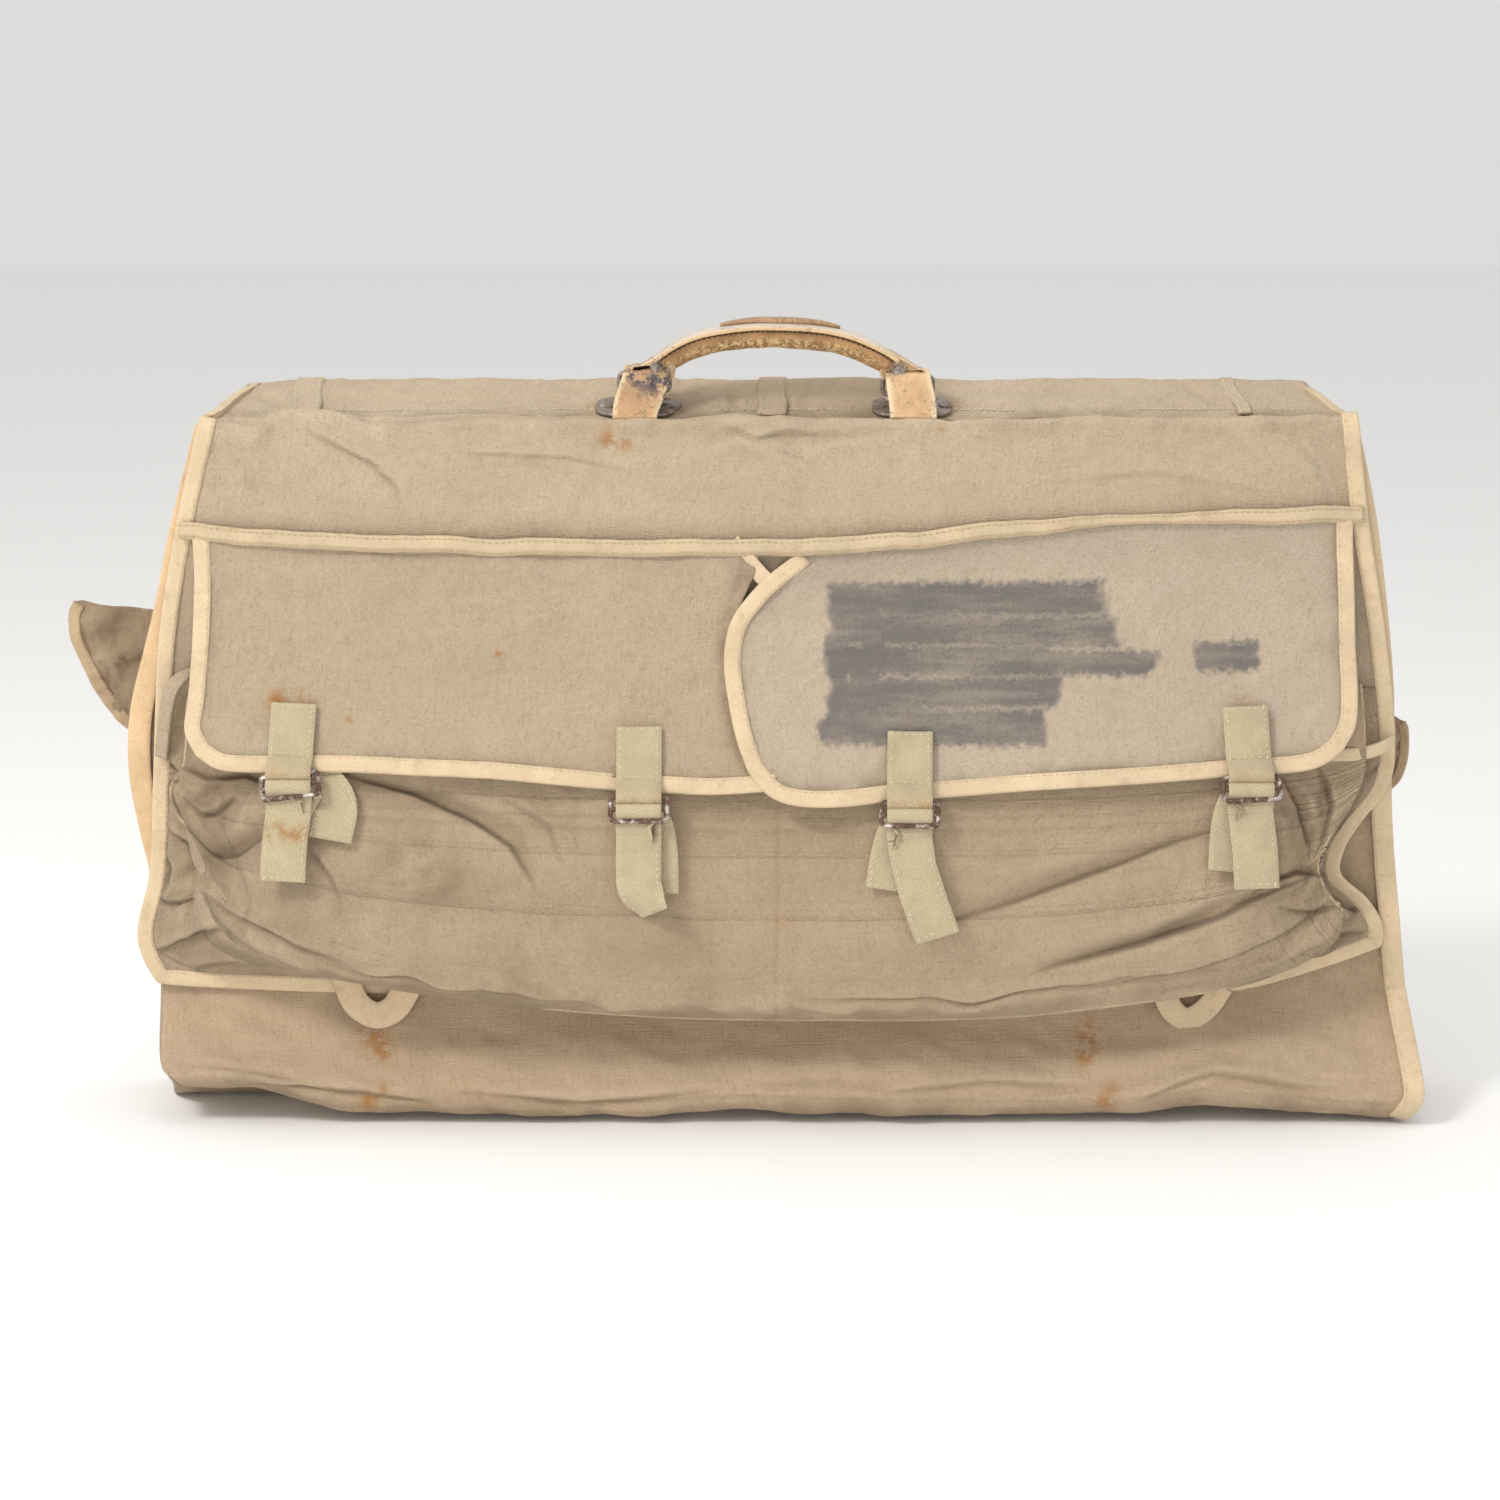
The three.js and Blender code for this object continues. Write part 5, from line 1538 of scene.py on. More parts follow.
def wing(side):
    """A loose tongue of cloth that stands out behind the bag, bound along its slanted edge."""
    name = side_name(side)
    upper, slant = WINGS[side]["top"], WINGS[side]["slant"]
    root_x, (foot_x, foot_z) = upper[0][0], slant[-1]
    rows, columns = 60, 44
    outer = curve([upper[-1], *slant], rows)
    inner = curve([upper[0], (root_x, foot_z + 10), (foot_x - side * 4, foot_z)], rows)
    top = curve(upper, columns)
    v = np.linspace(0, 1, rows)[:, None, None]
    u = np.linspace(0, 1, columns)[None, :, None]
    flat = inner[:, None] * (1 - u) + outer[:, None] * u
    flat = flat + (top[None] - (inner[:1, None] * (1 - u) + outer[:1, None] * u)) * (1 - v) ** 2
    x, z = flat[..., 0], flat[..., 1]
    y = 45.0 + 3.5 * waves(x, z, 50, 100 + side, 1.0, 2) * ease(0, 0.4, u[..., 0])
    grid = np.stack([x, y, z], axis=-1)
    h = crumple(x, z, 26, 101)
    grid = pushed(grid, (0, -1, 0), h)
    # The wing lies in shade: its darker cloth and tape copies, and darkening at 0.75 all over, are painted
    # shade.
    obj = cloth(f"{name}_wing_cloth", grid, canvas_wing_shaded, (0, -1, 0), marks={"grime_and_shade": 0.75 + 0 * x}, relief=h)
    place(obj, f"{name}_wing", "canvas", f"side_wing_{name}")
    wing_stitches = []
    bound_edge(f"{name}_wing_tape", grid, ["right"], (0, -1, 0), f"{name}_wing", wing_stitches, tape_wing_shaded,
               7.5 if side < 0 else 5.0)
    place(stitch_mesh(f"{name}_wing_stitches", wing_stitches, thread), f"{name}_wing", "webbing")


wing(-1)
wing(1)


# ---------- spine ----------
def spine_z(y):
    """Height of the spine, which slopes up towards the back."""
    slope = (SPINE_REAR[1] - SPINE_FRONT[1]) / (SPINE_REAR[0] - SPINE_FRONT[0])
    return SPINE_FRONT[1] + (y - SPINE_FRONT[0]) * slope


def spine_cloth():
    """The strip over the top, turned down behind the tray's back."""
    profile = curve([(50.4, 404.0), (50.8, 411), (48.4, 417.0), (42, 417.2), (20, 410.4), (0, 404.2),
                     (-7.5, 401.2)], 70)
    columns = 320
    u = np.linspace(-1, 1, columns)[None, :]
    y0 = profile[:, 0][:, None]
    reach = soft_interp(y0, [(-10, 319), (0, 314), (20, 308.5), (51, 300)])
    x = reach * u
    z = profile[:, 1][:, None] - 1.5 * ease(0.9, 1.0, np.abs(u)) * ease(0, 20, y0)
    grid = np.stack([x, y0 + 0 * x, z + 0 * x], axis=-1)
    y = y0 + 0 * x
    h = 0.9 * waves(x, y, 130, 110, 1.5) + 0.5 * crumple(x, y, 44, 111)
    add_folds(h, x, y, [
        ([(-30, 40), (-24, 10), (-30, -6)], 4, 1.6),
        ([(18, 40), (14, 12), (26, -6)], 4, 1.4),
        ([(-120, 30), (-60, 34), (-20, 28)], 7, 1.0),
        ([(30, 20), (90, 30), (200, 26)], 8, 1.0),
        ([(-300, 30), (-270, 0)], 6, 1.6),
        ([(230, 40), (250, 8)], 6, 1.6),
        ([(-250, 20), (-180, 14), (-120, 18)], 6, 1.0),
    ])
    h *= ease(50.8, 46, y) * 0.7 + 0.3
    grid = pushed(grid, (0, 0, 1), h)
    # Darker towards the front edge and round the handle loops.
    grime_and_shade = np.clip(0.15 + 0.6 * ease(10, -6, y) + 0.35 * bell(np.abs(x), LOOP_X, 26), 0, 1)
    rust = stain_field(x, y, [(-104, 6, 5, 0.7), (102, 10, 4, 0.5), (40, 14, 2, 0.5)])
    obj = cloth("spine_cloth", grid, canvas, (0, 0, 1), marks={"grime_and_shade": grime_and_shade, "rust": rust}, relief=h)
    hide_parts("spine_panel")
    return obj


spine_obj = spine_cloth()
spine_stitches = []


def spine_band(name, x, width, y_from, y_to, lean=0.0, thickness=1.8):
    """A strip of canvas sewn across the spine."""
    count = 50
    y = np.linspace(y_from, y_to, count)
    z = spine_z(y) + 1.6 + 0.5 * np.sin(np.linspace(0, 9, count))
    over = ease(46, 51, y)
    z = z - 7 * over**2
    path = np.stack([x + lean * (y - 20) + 0.6 * np.sin(y / 6), y, z], 1)
    obj, _, _ = strap(name, path, (1, 0, 0), canvas, width, thickness)
    place(obj, "spine", "canvas")
    for side in (-1, 1):
        offset = np.array([side * (width / 2 - 1.6), 0, thickness / 2])
        spine_stitches.append((path + offset, UP))


spine_band("spine_band_middle", -3, 16, -6, 48.0)
spine_band("spine_band_left", -266, 16, -4, 46, -0.05)
spine_band("spine_band_right", 259.5, 8, -4, 46, -0.12)
line_x = np.linspace(-296, 300, 300)
line_y = 3.5 + 1.0 * np.sin(line_x / 31)
seam_line = np.stack([line_x, line_y, spine_z(line_y) + 0.7], 1)
plate_reach = 24.0
clear_of_plates = np.abs(np.abs(line_x) - LOOP_X) > plate_reach
ends = np.flatnonzero(np.diff(clear_of_plates.astype(int))) + 1
for part, clear in zip(np.split(seam_line, ends), np.split(clear_of_plates, ends)):
    if clear[0]:
        spine_stitches.append((part, UP))


# ---------- handle plates, loops, rings ----------
LOOP_RISE = {-1: 16.6, 1: 14.6}  # top of each loop above the swing axis
LOOP_OFFSET = {-1: (3.8, -6.5), 1: (-0.5, -3.2)}  # outward shift at the foot, and the lean going up
PIVOT = joint_place("handle_swing")
TILT = 0.2595  # the plates' lean, close to the spine's slope
SPINE_DOWN = np.array([0, -math.cos(TILT), -math.sin(TILT)])
SPINE_OUT = np.array([0, -math.sin(TILT), math.cos(TILT)])


def mesh_object(name, shape, material):
    mesh = bpy.data.meshes.new(name)
    shape.to_mesh(mesh)
    shape.free()
    mesh.polygons.foreach_set("use_smooth", [True] * len(mesh.polygons))
    mesh.materials.append(material)
    obj = bpy.data.objects.new(name, mesh)
    bpy.context.scene.collection.objects.link(obj)
    outward_faces(obj)
    return obj


def lofted(shape, rings):
    """Closed surface through rings of points."""
    loops = [[shape.verts.new(p * MM) for p in ring] for ring in rings]
    count = len(loops[0])
    for low, high in zip(loops, loops[1:]):
        for k in range(count):
            shape.faces.new((low[k], low[(k + 1) % count], high[(k + 1) % count], high[k]))
    shape.faces.new(loops[0][::-1])
    shape.faces.new(loops[-1])


def dome(shape, centre, axis, radius, height, rings=4, sides=16):
    """A rivet head as a closed low dome."""
    axis = unit(axis)
    a = unit(np.cross(axis, [0.3, 0.9, 0.2]))
    b = np.cross(axis, a)
    turn = np.linspace(0, 2 * math.pi, sides, endpoint=False)[:, None]
    levels = []
    for r in range(rings):
        angle = math.pi / 2 * r / rings
        around = (a * np.cos(turn) + b * np.sin(turn)) * radius * math.cos(angle)
        levels.append(centre + around + axis * height * math.sin(angle))
    lofted(shape, levels)


def plate(side):
    """The steel plate under a leather loop, with its two rivets."""
    centre_y = PIVOT[1] + 12.4 * math.sin(TILT)
    centre = np.array([side * (LOOP_X + LOOP_OFFSET[side][0]), centre_y, spine_z(centre_y) + 1.0])
    outline = rounded_loop(45, 27, 10)
    shape = bmesh.new()
    rings = []
    for lift, shrink in ((0, 1.0), (1.2, 1.0), (1.7, 0.97), (1.9, 0.90)):
        flat = outline * shrink
        in_plane = flat[:, :1] * np.array([1.0, 0, 0]) - flat[:, 1:] * SPINE_DOWN
        rings.append(centre + in_plane + SPINE_OUT * lift)
    lofted(shape, rings)
    for dx in (-18.0, 18.0):
        dome(shape, centre + np.array([dx, 0, 0]) + SPINE_OUT * 1.8, SPINE_OUT, 3.2, 1.4)
    name = side_name(side)
    obj = mesh_object(f"handle_plate_{name}_shaped", shape, plate_metal)
    place(obj, "spine", "plate_steel", f"handle_plate_{name}")


def rounded_strap_section(width, thickness, edge=0.5, count=9):
    """Thick leather's section with softened corners."""
    w, t = width / 2, thickness / 2
    xs = np.linspace(-w + edge, w - edge, count)
    return np.array([(-w, -t + edge), *[(x, -t) for x in xs], (w, -t + edge), (w, t - edge),
                     *[(x, t) for x in xs[::-1]], (-w, t - edge)])


def loop(side):
    """The leather loop over the ring: an upturned U across the spine."""
    name = side_name(side)
    height = LOOP_RISE[side] - 1.5
    middle_y = PIVOT[1] - 1.2
    base = [
        (middle_y - 15.5, spine_z(middle_y - 15.5) + 3.2),
        (middle_y - 12.6, spine_z(middle_y - 12) + 5.0),
        (middle_y - 11.2, PIVOT[2]),
        (middle_y - 10.2, PIVOT[2] + height * 0.45),
        (middle_y - 7.0, PIVOT[2] + height * 0.84),
        (middle_y + 0.5, PIVOT[2] + height),
        (middle_y + 7.5, PIVOT[2] + height * 0.80),
        (middle_y + 10.2, PIVOT[2] + height * 0.35),
        (middle_y + 11.2, PIVOT[2] - 3),
        (middle_y + 14.0, spine_z(middle_y + 14) + 2.8),
    ]
    count = 70
    yz = curve(base, count)
    foot, lean = LOOP_OFFSET[side]
    rise = ease(PIVOT[2] - 10, PIVOT[2] + height, yz[:, 1])
    x = side * (LOOP_X + foot + lean * rise) + 0.4 * np.sin(np.linspace(0, 5, count))
    path = np.stack([x, yz[:, 0], yz[:, 1]], 1)
    section = rounded_strap_section(WEB_WIDTH, 3.2)
    widths = 1 + 0.03 * np.sin(np.linspace(0, 7, count) + side)
    sections = stretched_sections(section, widths, np.ones(count))
    material = loop_leather if side > 0 else loop_leather_scuffed
    obj, _, _ = strap(f"leather_loop_{name}_shaped", path, (1, 0, 0), material, section=sections)
    raw = (np.abs(section[:, 0]) > 12.1).astype(float)
    store(obj, "raw", np.tile(raw, count))
    if side < 0:
        stain = bell(np.linspace(0, 1, count), 0.36, 0.13)
        store(obj, "stain", np.repeat(stain, len(section)))
    place(obj, "spine", "loop_leather", f"leather_loop_{name}")


# The seam between the grip's roll and its band, as (x, z).
GRIP_SEAM = [(-76, 427.0), (-67, 433.9), (-55.3, 441.5), (-41.7, 446.8), (-21.4, 450.2), (-4.5, 451.0),
             (20.9, 449.9), (39.5, 446.2), (54.7, 440.0), (64.9, 434.1), (75, 427.4)]


def grip():
    """The handle: a rolled leather body, a flat band sewn above it and a thin pad on top."""
    count = 150
    line = curve([(x, 0, z) for x, z in GRIP_SEAM], count)
    line[:, 1] = PIVOT[1] + 0.8 * np.sin(np.linspace(0, 5, count))
    along = unit(np.gradient(line, axis=0))
    across = np.broadcast_to((0, 1.0, 0), line.shape)
    up = unit(np.cross(along, across))
    up *= np.sign(up[:, 2:3])
    t = np.linspace(-1, 1, count)
    fat = 1 - 0.12 * np.abs(t) ** 3
    body = []
    for angle in np.linspace(0, 2 * math.pi, 28, endpoint=False):
        a, b = math.cos(angle), math.sin(angle)
        wide = 10.8 * np.sign(a) * abs(a) ** 0.8
        tall = (1.2 if b > 0 else 9.8) * np.sign(b) * abs(b) ** 0.8
        body.append((wide, tall - 1.2))
    body = np.array(body)
    wrinkle = 1 + 0.012 * np.sin(np.linspace(0, 60, count)) + 0.02 * waves(t * 60, t * 0, 22, 120, 0)
    sections = body[None] * (fat * wrinkle)[:, None, None]
    trim = 12
    inside = slice(trim, count - trim)
    roll, _ = swept("handle_grip_roll", line[inside], across[inside], up[inside], sections[inside],
                    grip_leather)
    scuff = ease(-3.2, -6.5, body[:, 1])
    ends = 1 - 0.75 * np.abs(np.linspace(-1, 1, count - 2 * trim)) ** 4
    store(roll, "scuff", (scuff[None] * ends[:, None]).ravel())
    place(roll, "handle", "grip_leather", "handle_grip")
    band_section = rounded_strap_section(28.0, 2.4)
    wide = 1 - 0.10 * np.abs(t) ** 3
    band_sections = stretched_sections(band_section, wide, np.ones(count))
    centre = line + up * 1.2
    band_trim = 9
    inside = slice(band_trim, count - band_trim)
    band, _ = swept("handle_band", centre[inside], across[inside], up[inside], band_sections[inside],
                    band_leather)
    raw = np.tile((band_section[:, 1] < 1.0).astype(float), count - 2 * band_trim)
    store(band, "raw", raw)
    place(band, "handle", "grip_leather", "handle_top_strip")
    pad_start, pad_end = 46, count - 42
    inside = slice(pad_start, pad_end)
    taper = np.sin(math.pi * np.linspace(0.02, 0.98, pad_end - pad_start)) ** 0.4
    pad_sections = stretched_sections(flat_section(12, 3.8), taper, taper)
    centre = line + up * 3.4 + across * 8.0
    pad, _ = swept("handle_pad", centre[inside], across[inside], up[inside], pad_sections, pad_leather)
    place(pad, "handle", "grip_leather")
    runs = []
    inside = slice(trim, count - trim)
    for side in (-1, 1):
        offset = across * (side * 11.0) * fat[:, None] - up * 0.9
        runs.append(((line + offset)[inside], np.array([0, side, 0.1])))
    place(stitch_mesh("handle_stitches", runs, thread_dark, 2.9, 2.2, 0.5, 0.0), "handle", "grip_leather")


def boot(side):
    """Leather end of the handle, folded round the ring and riveted."""
    name = side_name(side)
    floor_z = PIVOT[2] + LOOP_RISE[side] - 0.6
    corners = [(57, 430), (58.5, 437), (63, 438.4), (69, 435.2), (76, 431), (81, 427.4),
               (81.5, floor_z + 0.4), (72, floor_z), (63, floor_z), (61, floor_z - 2), (60.4, 424),
               (58, 423.6), (57, 430)]
    outline = curve(corners, 70)[:-1]
    middle = outline.mean(0)
    shape = bmesh.new()
    rings = []
    for y, grow in ((-8.4, -1.2), (-7.8, -0.3), (-7.0, 0.0), (7.0, 0.0), (7.8, -0.3), (8.4, -1.2)):
        flat = outline + unit(outline - middle) * grow
        rings.append(np.stack([side * flat[:, 0], np.full(len(flat), PIVOT[1] + y), flat[:, 1]], 1))
    lofted(shape, rings)
    obj = mesh_object(f"handle_boot_{name}_shaped", shape, pad_leather)
    count = len(outline)
    ring_of = np.arange(6 * count) // count
    store(obj, "raw", ((ring_of == 1) | (ring_of == 2)).astype(float))
    place(obj, "handle", "grip_leather", f"handle_boot_{name}")
    shape = bmesh.new()
    for face in (-1, 1):
        head = np.array([side * 67.5, PIVOT[1] + face * 8.2, floor_z + 0.2])
        dome(shape, head, np.array([0, face, 0.1]), 3.9, 1.1)
    obj = mesh_object(f"boot_rivets_{name}", shape, plate_metal)
    place(obj, "handle", "plate_steel", f"boot_rivet_{name}")


def ring(side):
    """Wire ring between the boot and the leather loop."""
    name = side_name(side)
    foot, lean = LOOP_OFFSET[side]
    outline = rounded_loop(28.0, 10, 3.0)
    middle = PIVOT[2] + LOOP_RISE[side] - 9.5
    path = np.stack([side * (LOOP_X + foot + lean * 0.8) + outline[:, 0], np.full(len(outline), PIVOT[1]),
                     middle + outline[:, 1]], 1)
    obj = wire_ring(f"handle_ring_{name}_wire", path, 1.4, plate_metal)
    place(obj, "handle", "plate_steel", f"handle_ring_{name}")


for side in (-1, 1):
    plate(side)
    loop(side)
    boot(side)
    ring(side)
grip()


# ---------- straps and buckles ----------
BUCKLE_TILT = 0.31  # how far the buckles lean off the upright
BUCKLE_SLANT = [0.13, 0.0, -0.02, 0.05]  # how far each has slipped round in the front view
TAB_LEAN = [0.05, 0.0, 0.02, -0.06]
BAR_PITCH = 6.4
WEB_STITCH = (3.2, 2.4, 0.42)  # pitch, length and radius of the stitches on webbing
# Each sewn foot, as its middle line below the buckle: (x offset, z), the last point being its end.
FEET = [
    [(10, 203), (20, 198), (25, 188), (22, 171)],
    [(6, 178), (9, 164), (9.5, 142)],
    [(-5, 174), (-9, 162), (-12, 144)],
    [(-5, 189), (-9, 177), (-11, 154)],
]
# Each free tail: (x offset, distance off the pocket, share of its length), its twist in turns, its end's z.
TAILS = [
    ([(0, 4, 0), (-2, 5, 0.5), (-3, 4, 1.0)], [0, 0.005, 0.01], 150),
    ([(0, 4, 0), (0, 5, 0.4), (1, 5.5, 0.68), (9, 3.5, 1.0)], [0, 0, 0.02, 0.13], 133),
    ([(0, 4, 0), (3, 6, 0.3), (9, 6, 0.65), (16, 4, 1.0)], [0, 0.06, -0.03, 0.03], 119),
    ([(0, 4, 0), (2, 5, 0.5), (3, 4, 1.0)], [0, 0.0, -0.01], 146),
]


def local_frame(index):
    """A buckle's hinge, and the directions down along it and out from it."""
    pivot = joint_place(f"buckle_{index + 1}_swing")
    down = np.array([0, -math.sin(BUCKLE_TILT), -math.cos(BUCKLE_TILT)])
    out = np.array([0, -math.cos(BUCKLE_TILT), math.sin(BUCKLE_TILT)])
    return pivot, down, out


def buckle(index):
    """A wire frame with a middle bar, hung from its tab by the top bar."""
    pivot, down, out = local_frame(index)
    slant = BUCKLE_SLANT[index]
    outline = rounded_loop(31.5, 2 * BAR_PITCH, 2.2)
    sideways = np.array([math.cos(slant), 0, 0]) - down * math.sin(slant)
    drop = down * math.cos(slant) + np.array([math.sin(slant), 0, 0])
    centre = pivot + drop * BAR_PITCH
    path = centre + outline[:, :1] * sideways + outline[:, 1:] * drop
    outer = wire_ring("outer", path, 1.5, buckle_metal)
    middle = np.linspace(centre - sideways * 15.6, centre + sideways * 15.6, 12)
    middle = middle + 0.25 * np.sin(np.linspace(0, 3, 12))[:, None] * out
    across = np.broadcast_to(drop, middle.shape)
    normal = np.broadcast_to(out, middle.shape)
    inner, _ = swept("inner", middle, across, normal, round_section(1.35), buckle_metal)
    obj = joined(f"buckle_{index + 1}_wire", [outer, inner])
    place(obj, f"buckle_frame_{index + 1}", "buckle_steel", f"buckle_{index + 1}")


def sewn_rows(path, across, normal, runs, rows, sides=(-10.4, 10.4), lift=1.1):
    """Stitch lines along both edges of part of a strap, and across it at the given rows."""
    front = np.where(normal[:, 1:2] < 0, normal, -normal)
    for dx in sides:
        runs.append((path + across * dx + front * lift, front))
    for row in rows:
        steps = np.linspace(*sides, 6)[:, None]
        runs.append((path[row] + across[row] * steps + front[row] * lift, front[row]))


def tab(index, runs):
    """Webbing tab: sewn to the flap, folded round the buckle's top bar."""
    pivot, down, out = local_frame(index)
    x = BUCKLE_X[index]
    body = "left_flap" if index < 2 else "right_flap"
    top = pivot[2] + 37
    stand_off = 2.8 + (overlap(x) if index == 2 else 0.0)
    z = np.linspace(top, pivot[2] + 8, 12)
    face_y = flap_face_y(z) - stand_off + 0.4 * np.sin(z / 9 + index)
    face = np.stack([x + TAB_LEAN[index] * (z - pivot[2]), face_y, z], 1)
    turn = [(-3.0, 2.8), (-0.4, 3.4), (2.0, 2.2), (2.4, -1.4)]
    count = 60
    path = curve([*face, *(pivot + down * r + out * o for r, o in turn)], count)
    obj, across, normal = strap(f"buckle_tab_{index + 1}_webbing", path, (1, 0, 0), webbing)
    rust = 0.5 * ease(42, 58, np.arange(float(count)))
    store(obj, "rust", np.repeat(rust, len(obj.data.vertices) // count))
    place(obj, body, "webbing", f"buckle_tab_{index + 1}")
    sewn_rows(path[1:38], across[1:38], normal[1:38], runs, (1, 34))


# The strap's way behind the buckle and over its middle bar: (down, out) from the hinge.
BUCKLE_TURN = [(18.0, -7.4), (11, -5.6), (6.2, -3.6), (3.8, 0.0), (4.8, 2.7), (7.0, 3.3), (9.4, 2.2),
               (10.9, -0.4), (14, -2.8), (21, -3.2)]


def strap_foot(index, runs):
    """Webbing from its sewn foot up behind the buckle, over the middle bar and down behind the lower bar."""
    pivot, down, out = local_frame(index)
    x = BUCKLE_X[index]
    low = [np.array([x + dx, pocket_face_y(z) - 1.9, z]) for dx, z in FEET[index][::-1]]
    count = 130
    path = curve(low + [pivot + down * r + out * o for r, o in BUCKLE_TURN], count)
    along = directions(path, 3)
    slack = ease(0, 1, np.clip((len(low) * 12 - np.arange(float(count))) / 14, 0, 1))[:, None]
    flat_across = unit(np.cross(along, np.array([0, 1.0, 0])))
    flat_across *= np.sign(flat_across[:, :1])
    across = unit(flat_across * slack + np.array([1.0, 0, 0]) * (1 - slack))
    obj, across, normal = strap(f"pocket_strap_{index + 1}_webbing", path, across, webbing)
    place(obj, "front_half", "webbing", f"pocket_strap_{index + 1}")
    sewn_rows(path[2:34], across[2:34], normal[2:34], runs, (1,))


def strap_tail(index):
    """The free end below the buckle, twisted and hanging clear of the pocket."""
    pivot, down, out = local_frame(index)
    x = BUCKLE_X[index]
    start = pivot + down * 20 - out * 3.0
    layout, twists, bottom = TAILS[index]
    points = [start]
    for dx, lift, share in layout[1:]:
        z = start[2] + (bottom - start[2]) * share
        points.append(np.array([x + dx, pocket_face_y(z) - 3.5 - lift, z]))
    count = 70
    path = curve(points, count)
    turns = np.interp(np.linspace(0, 1, count), [p[2] for p in layout], twists)
    turns = smooth_line(turns[:, None], 6)[:, 0]
    angle = turns * 2 * math.pi
    across = np.stack([np.cos(angle), -np.sin(angle), 0 * angle], 1)
    obj, across, normal = strap(f"strap_tail_{index + 1}_webbing", path, across, webbing)
    if index == 0:
        rust = bell(np.linspace(0, 1, count), 0.32, 0.13)
        store(obj, "rust", np.repeat(rust, len(obj.data.vertices) // count))
    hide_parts(f"strap_tail_{index + 1}")
    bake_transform(obj)
    runs = []
    sewn_rows(path[12:-2], across[12:-2], normal[12:-2], runs, (-3,))
    stitches = stitch_mesh(f"strap_tail_{index + 1}_stitches", runs, thread_pale, *WEB_STITCH)
    place(stitches, f"tail_{index + 1}", "webbing")


web_runs = {"left_flap": [], "right_flap": [], "front_half": []}
for index in range(4):
    buckle(index)
    tab(index, web_runs["left_flap" if index < 2 else "right_flap"])
    strap_foot(index, web_runs["front_half"])
    strap_tail(index)
for body, runs in web_runs.items():
    place(stitch_mesh(f"{body}_webbing_stitches", runs, thread_pale, *WEB_STITCH), body, "webbing")


# ---------- tape loops under the front half ----------
TAPE_LOOPS = {
    -1: [(-248, -17, 86), (-246, -19, 75), (-241, -21, 65), (-231, -21.5, 59), (-221, -20.5, 62),
         (-214.5, -19, 71), (-209, -17, 82)],
    1: [(220, -17, 80), (223, -19.5, 70), (228, -21, 61), (235, -21.5, 57), (243, -20.5, 59.5),
        (250, -19, 66), (256, -17, 75)],
}


def tape_loop(side):
    """Tape hung under the front half's edge, turned back up to leave a small eye."""
    path = curve(TAPE_LOOPS[side], 60)
    along = directions(path, 2)
    across = unit(np.cross(along, np.array([0, 1.0, 0])))
    section = flat_section(16.0 if side < 0 else 13.5, 1.8)
    obj, _, _ = strap(f"tape_loop_{side_name(side)}_shaped", path, across, tape, section=section)
    place(obj, "front_half", "binding_tape", f"tape_loop_{side_name(side)}")


tape_loop(-1)
tape_loop(1)


# ---------- inner gear keeps its CAD shape and gets real materials ----------
def repaint(node, material):
    """A CAD piece keeps its shape and gets a real material."""
    obj = frame["nodes"][node]
    obj.data.materials.clear()
    obj.data.materials.append(material)


for node in ("hanger_bracket", "hanging_hook", "rivet_plate_left", "rivet_plate_right", "handle_core"):
    repaint(node, plate_metal)
repaint("spine_board", board_material)
repaint("garment_strap", webbing)

for name, runs, body in (
    ("front_stitches", front_stitches, "front_half"),
    ("left_flap_stitches", left_stitches, "left_flap"),
    ("right_flap_stitches", right_stitches, "right_flap"),
    ("rear_stitches", rear_stitches, "rear_half"),
):
    place(stitch_mesh(name, runs, thread), body, "webbing")
place(stitch_mesh("spine_stitches", spine_stitches, thread_pale, 3.4, 2.5, 0.45, -0.2), "spine", "webbing")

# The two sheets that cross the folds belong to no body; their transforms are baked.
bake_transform(front_obj)
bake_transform(spine_obj)


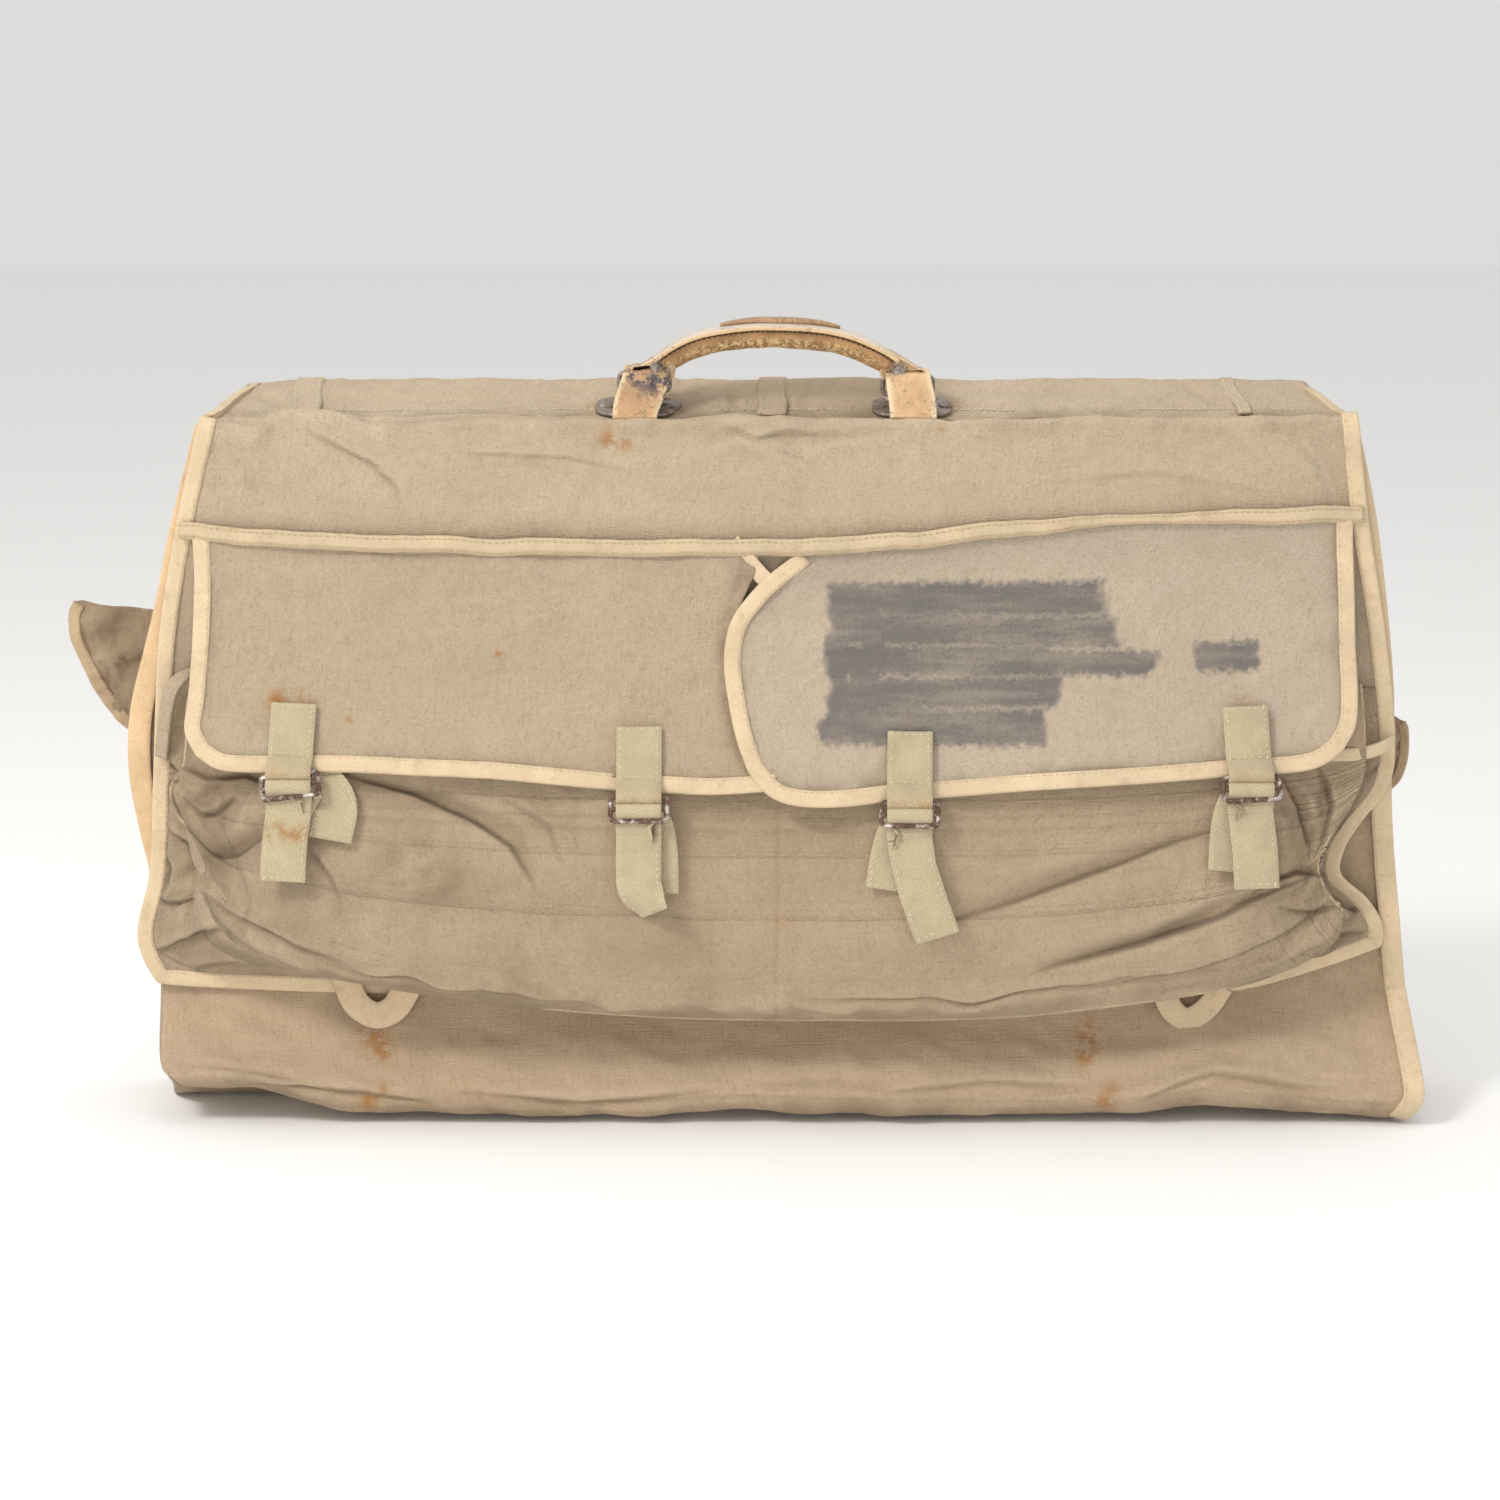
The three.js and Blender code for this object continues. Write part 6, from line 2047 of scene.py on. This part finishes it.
# ---------- floor, lights, camera ----------
def area_light(name, place_at, target, size, power, colour):
    data = bpy.data.lights.new(name, "AREA")
    data.shape = "RECTANGLE"
    data.size, data.size_y = size
    data.energy = power
    data.color = colour
    obj = bpy.data.objects.new(name, data)
    obj.location = place_at
    obj.rotation_euler = (Vector(target) - Vector(place_at)).to_track_quat("-Z", "Y").to_euler()
    bpy.context.scene.collection.objects.link(obj)


def studio():
    """A pale floor, an even sky and three soft lamps."""
    reach = 6.0
    corners = [(-reach, -reach, 0), (reach, -reach, 0), (reach, reach, 0), (-reach, reach, 0)]
    floor_mesh = bpy.data.meshes.new("floor")
    floor_mesh.from_pydata(corners, [], [(0, 1, 2, 3)])
    floor = bpy.data.objects.new("floor", floor_mesh)
    bpy.context.scene.collection.objects.link(floor)
    s = Shader("pale_floor", 0.9)
    s.surface.inputs["Base Color"].default_value = (0.95, 0.95, 0.945, 1)
    floor_mesh.materials.append(s.material)
    world = bpy.data.worlds.new("studio")
    world.use_nodes = True
    world.node_tree.nodes["Background"].inputs[0].default_value = (1.0, 0.99, 0.975, 1)
    world.node_tree.nodes["Background"].inputs[1].default_value = 0.72
    bpy.context.scene.world = world
    area_light("key", (-1.3, -1.3, 1.9), (0, 0, 0.2), (0.6, 0.5), 28, (1.0, 0.98, 0.95))
    area_light("top", (0.2, 0.0, 2.2), (0, 0, 0.3), (1.4, 1.0), 9, (1.0, 0.99, 0.97))
    area_light("low", (-0.2, -2.2, 0.3), (0, 0, 0.1), (1.6, 0.4), 10, (1.0, 0.98, 0.96))


def camera():
    """A long lens in front, a little above."""
    data = bpy.data.cameras.new("camera")
    data.sensor_width = 36
    data.lens = 90
    obj = bpy.data.objects.new("camera", data)
    bpy.context.scene.collection.objects.link(obj)
    elevation = math.radians(12)
    target = Vector((-0.0155, -0.02, 0.2145))
    distance = 2.125
    back = Vector((0, -math.cos(elevation), math.sin(elevation)))
    obj.location = target + back * distance
    obj.rotation_euler = (-back).to_track_quat("-Z", "Y").to_euler()
    data.clip_start, data.clip_end = 0.05, 50
    bpy.context.scene.camera = obj


studio()
camera()
bpy.context.scene.view_settings.view_transform = "Standard"
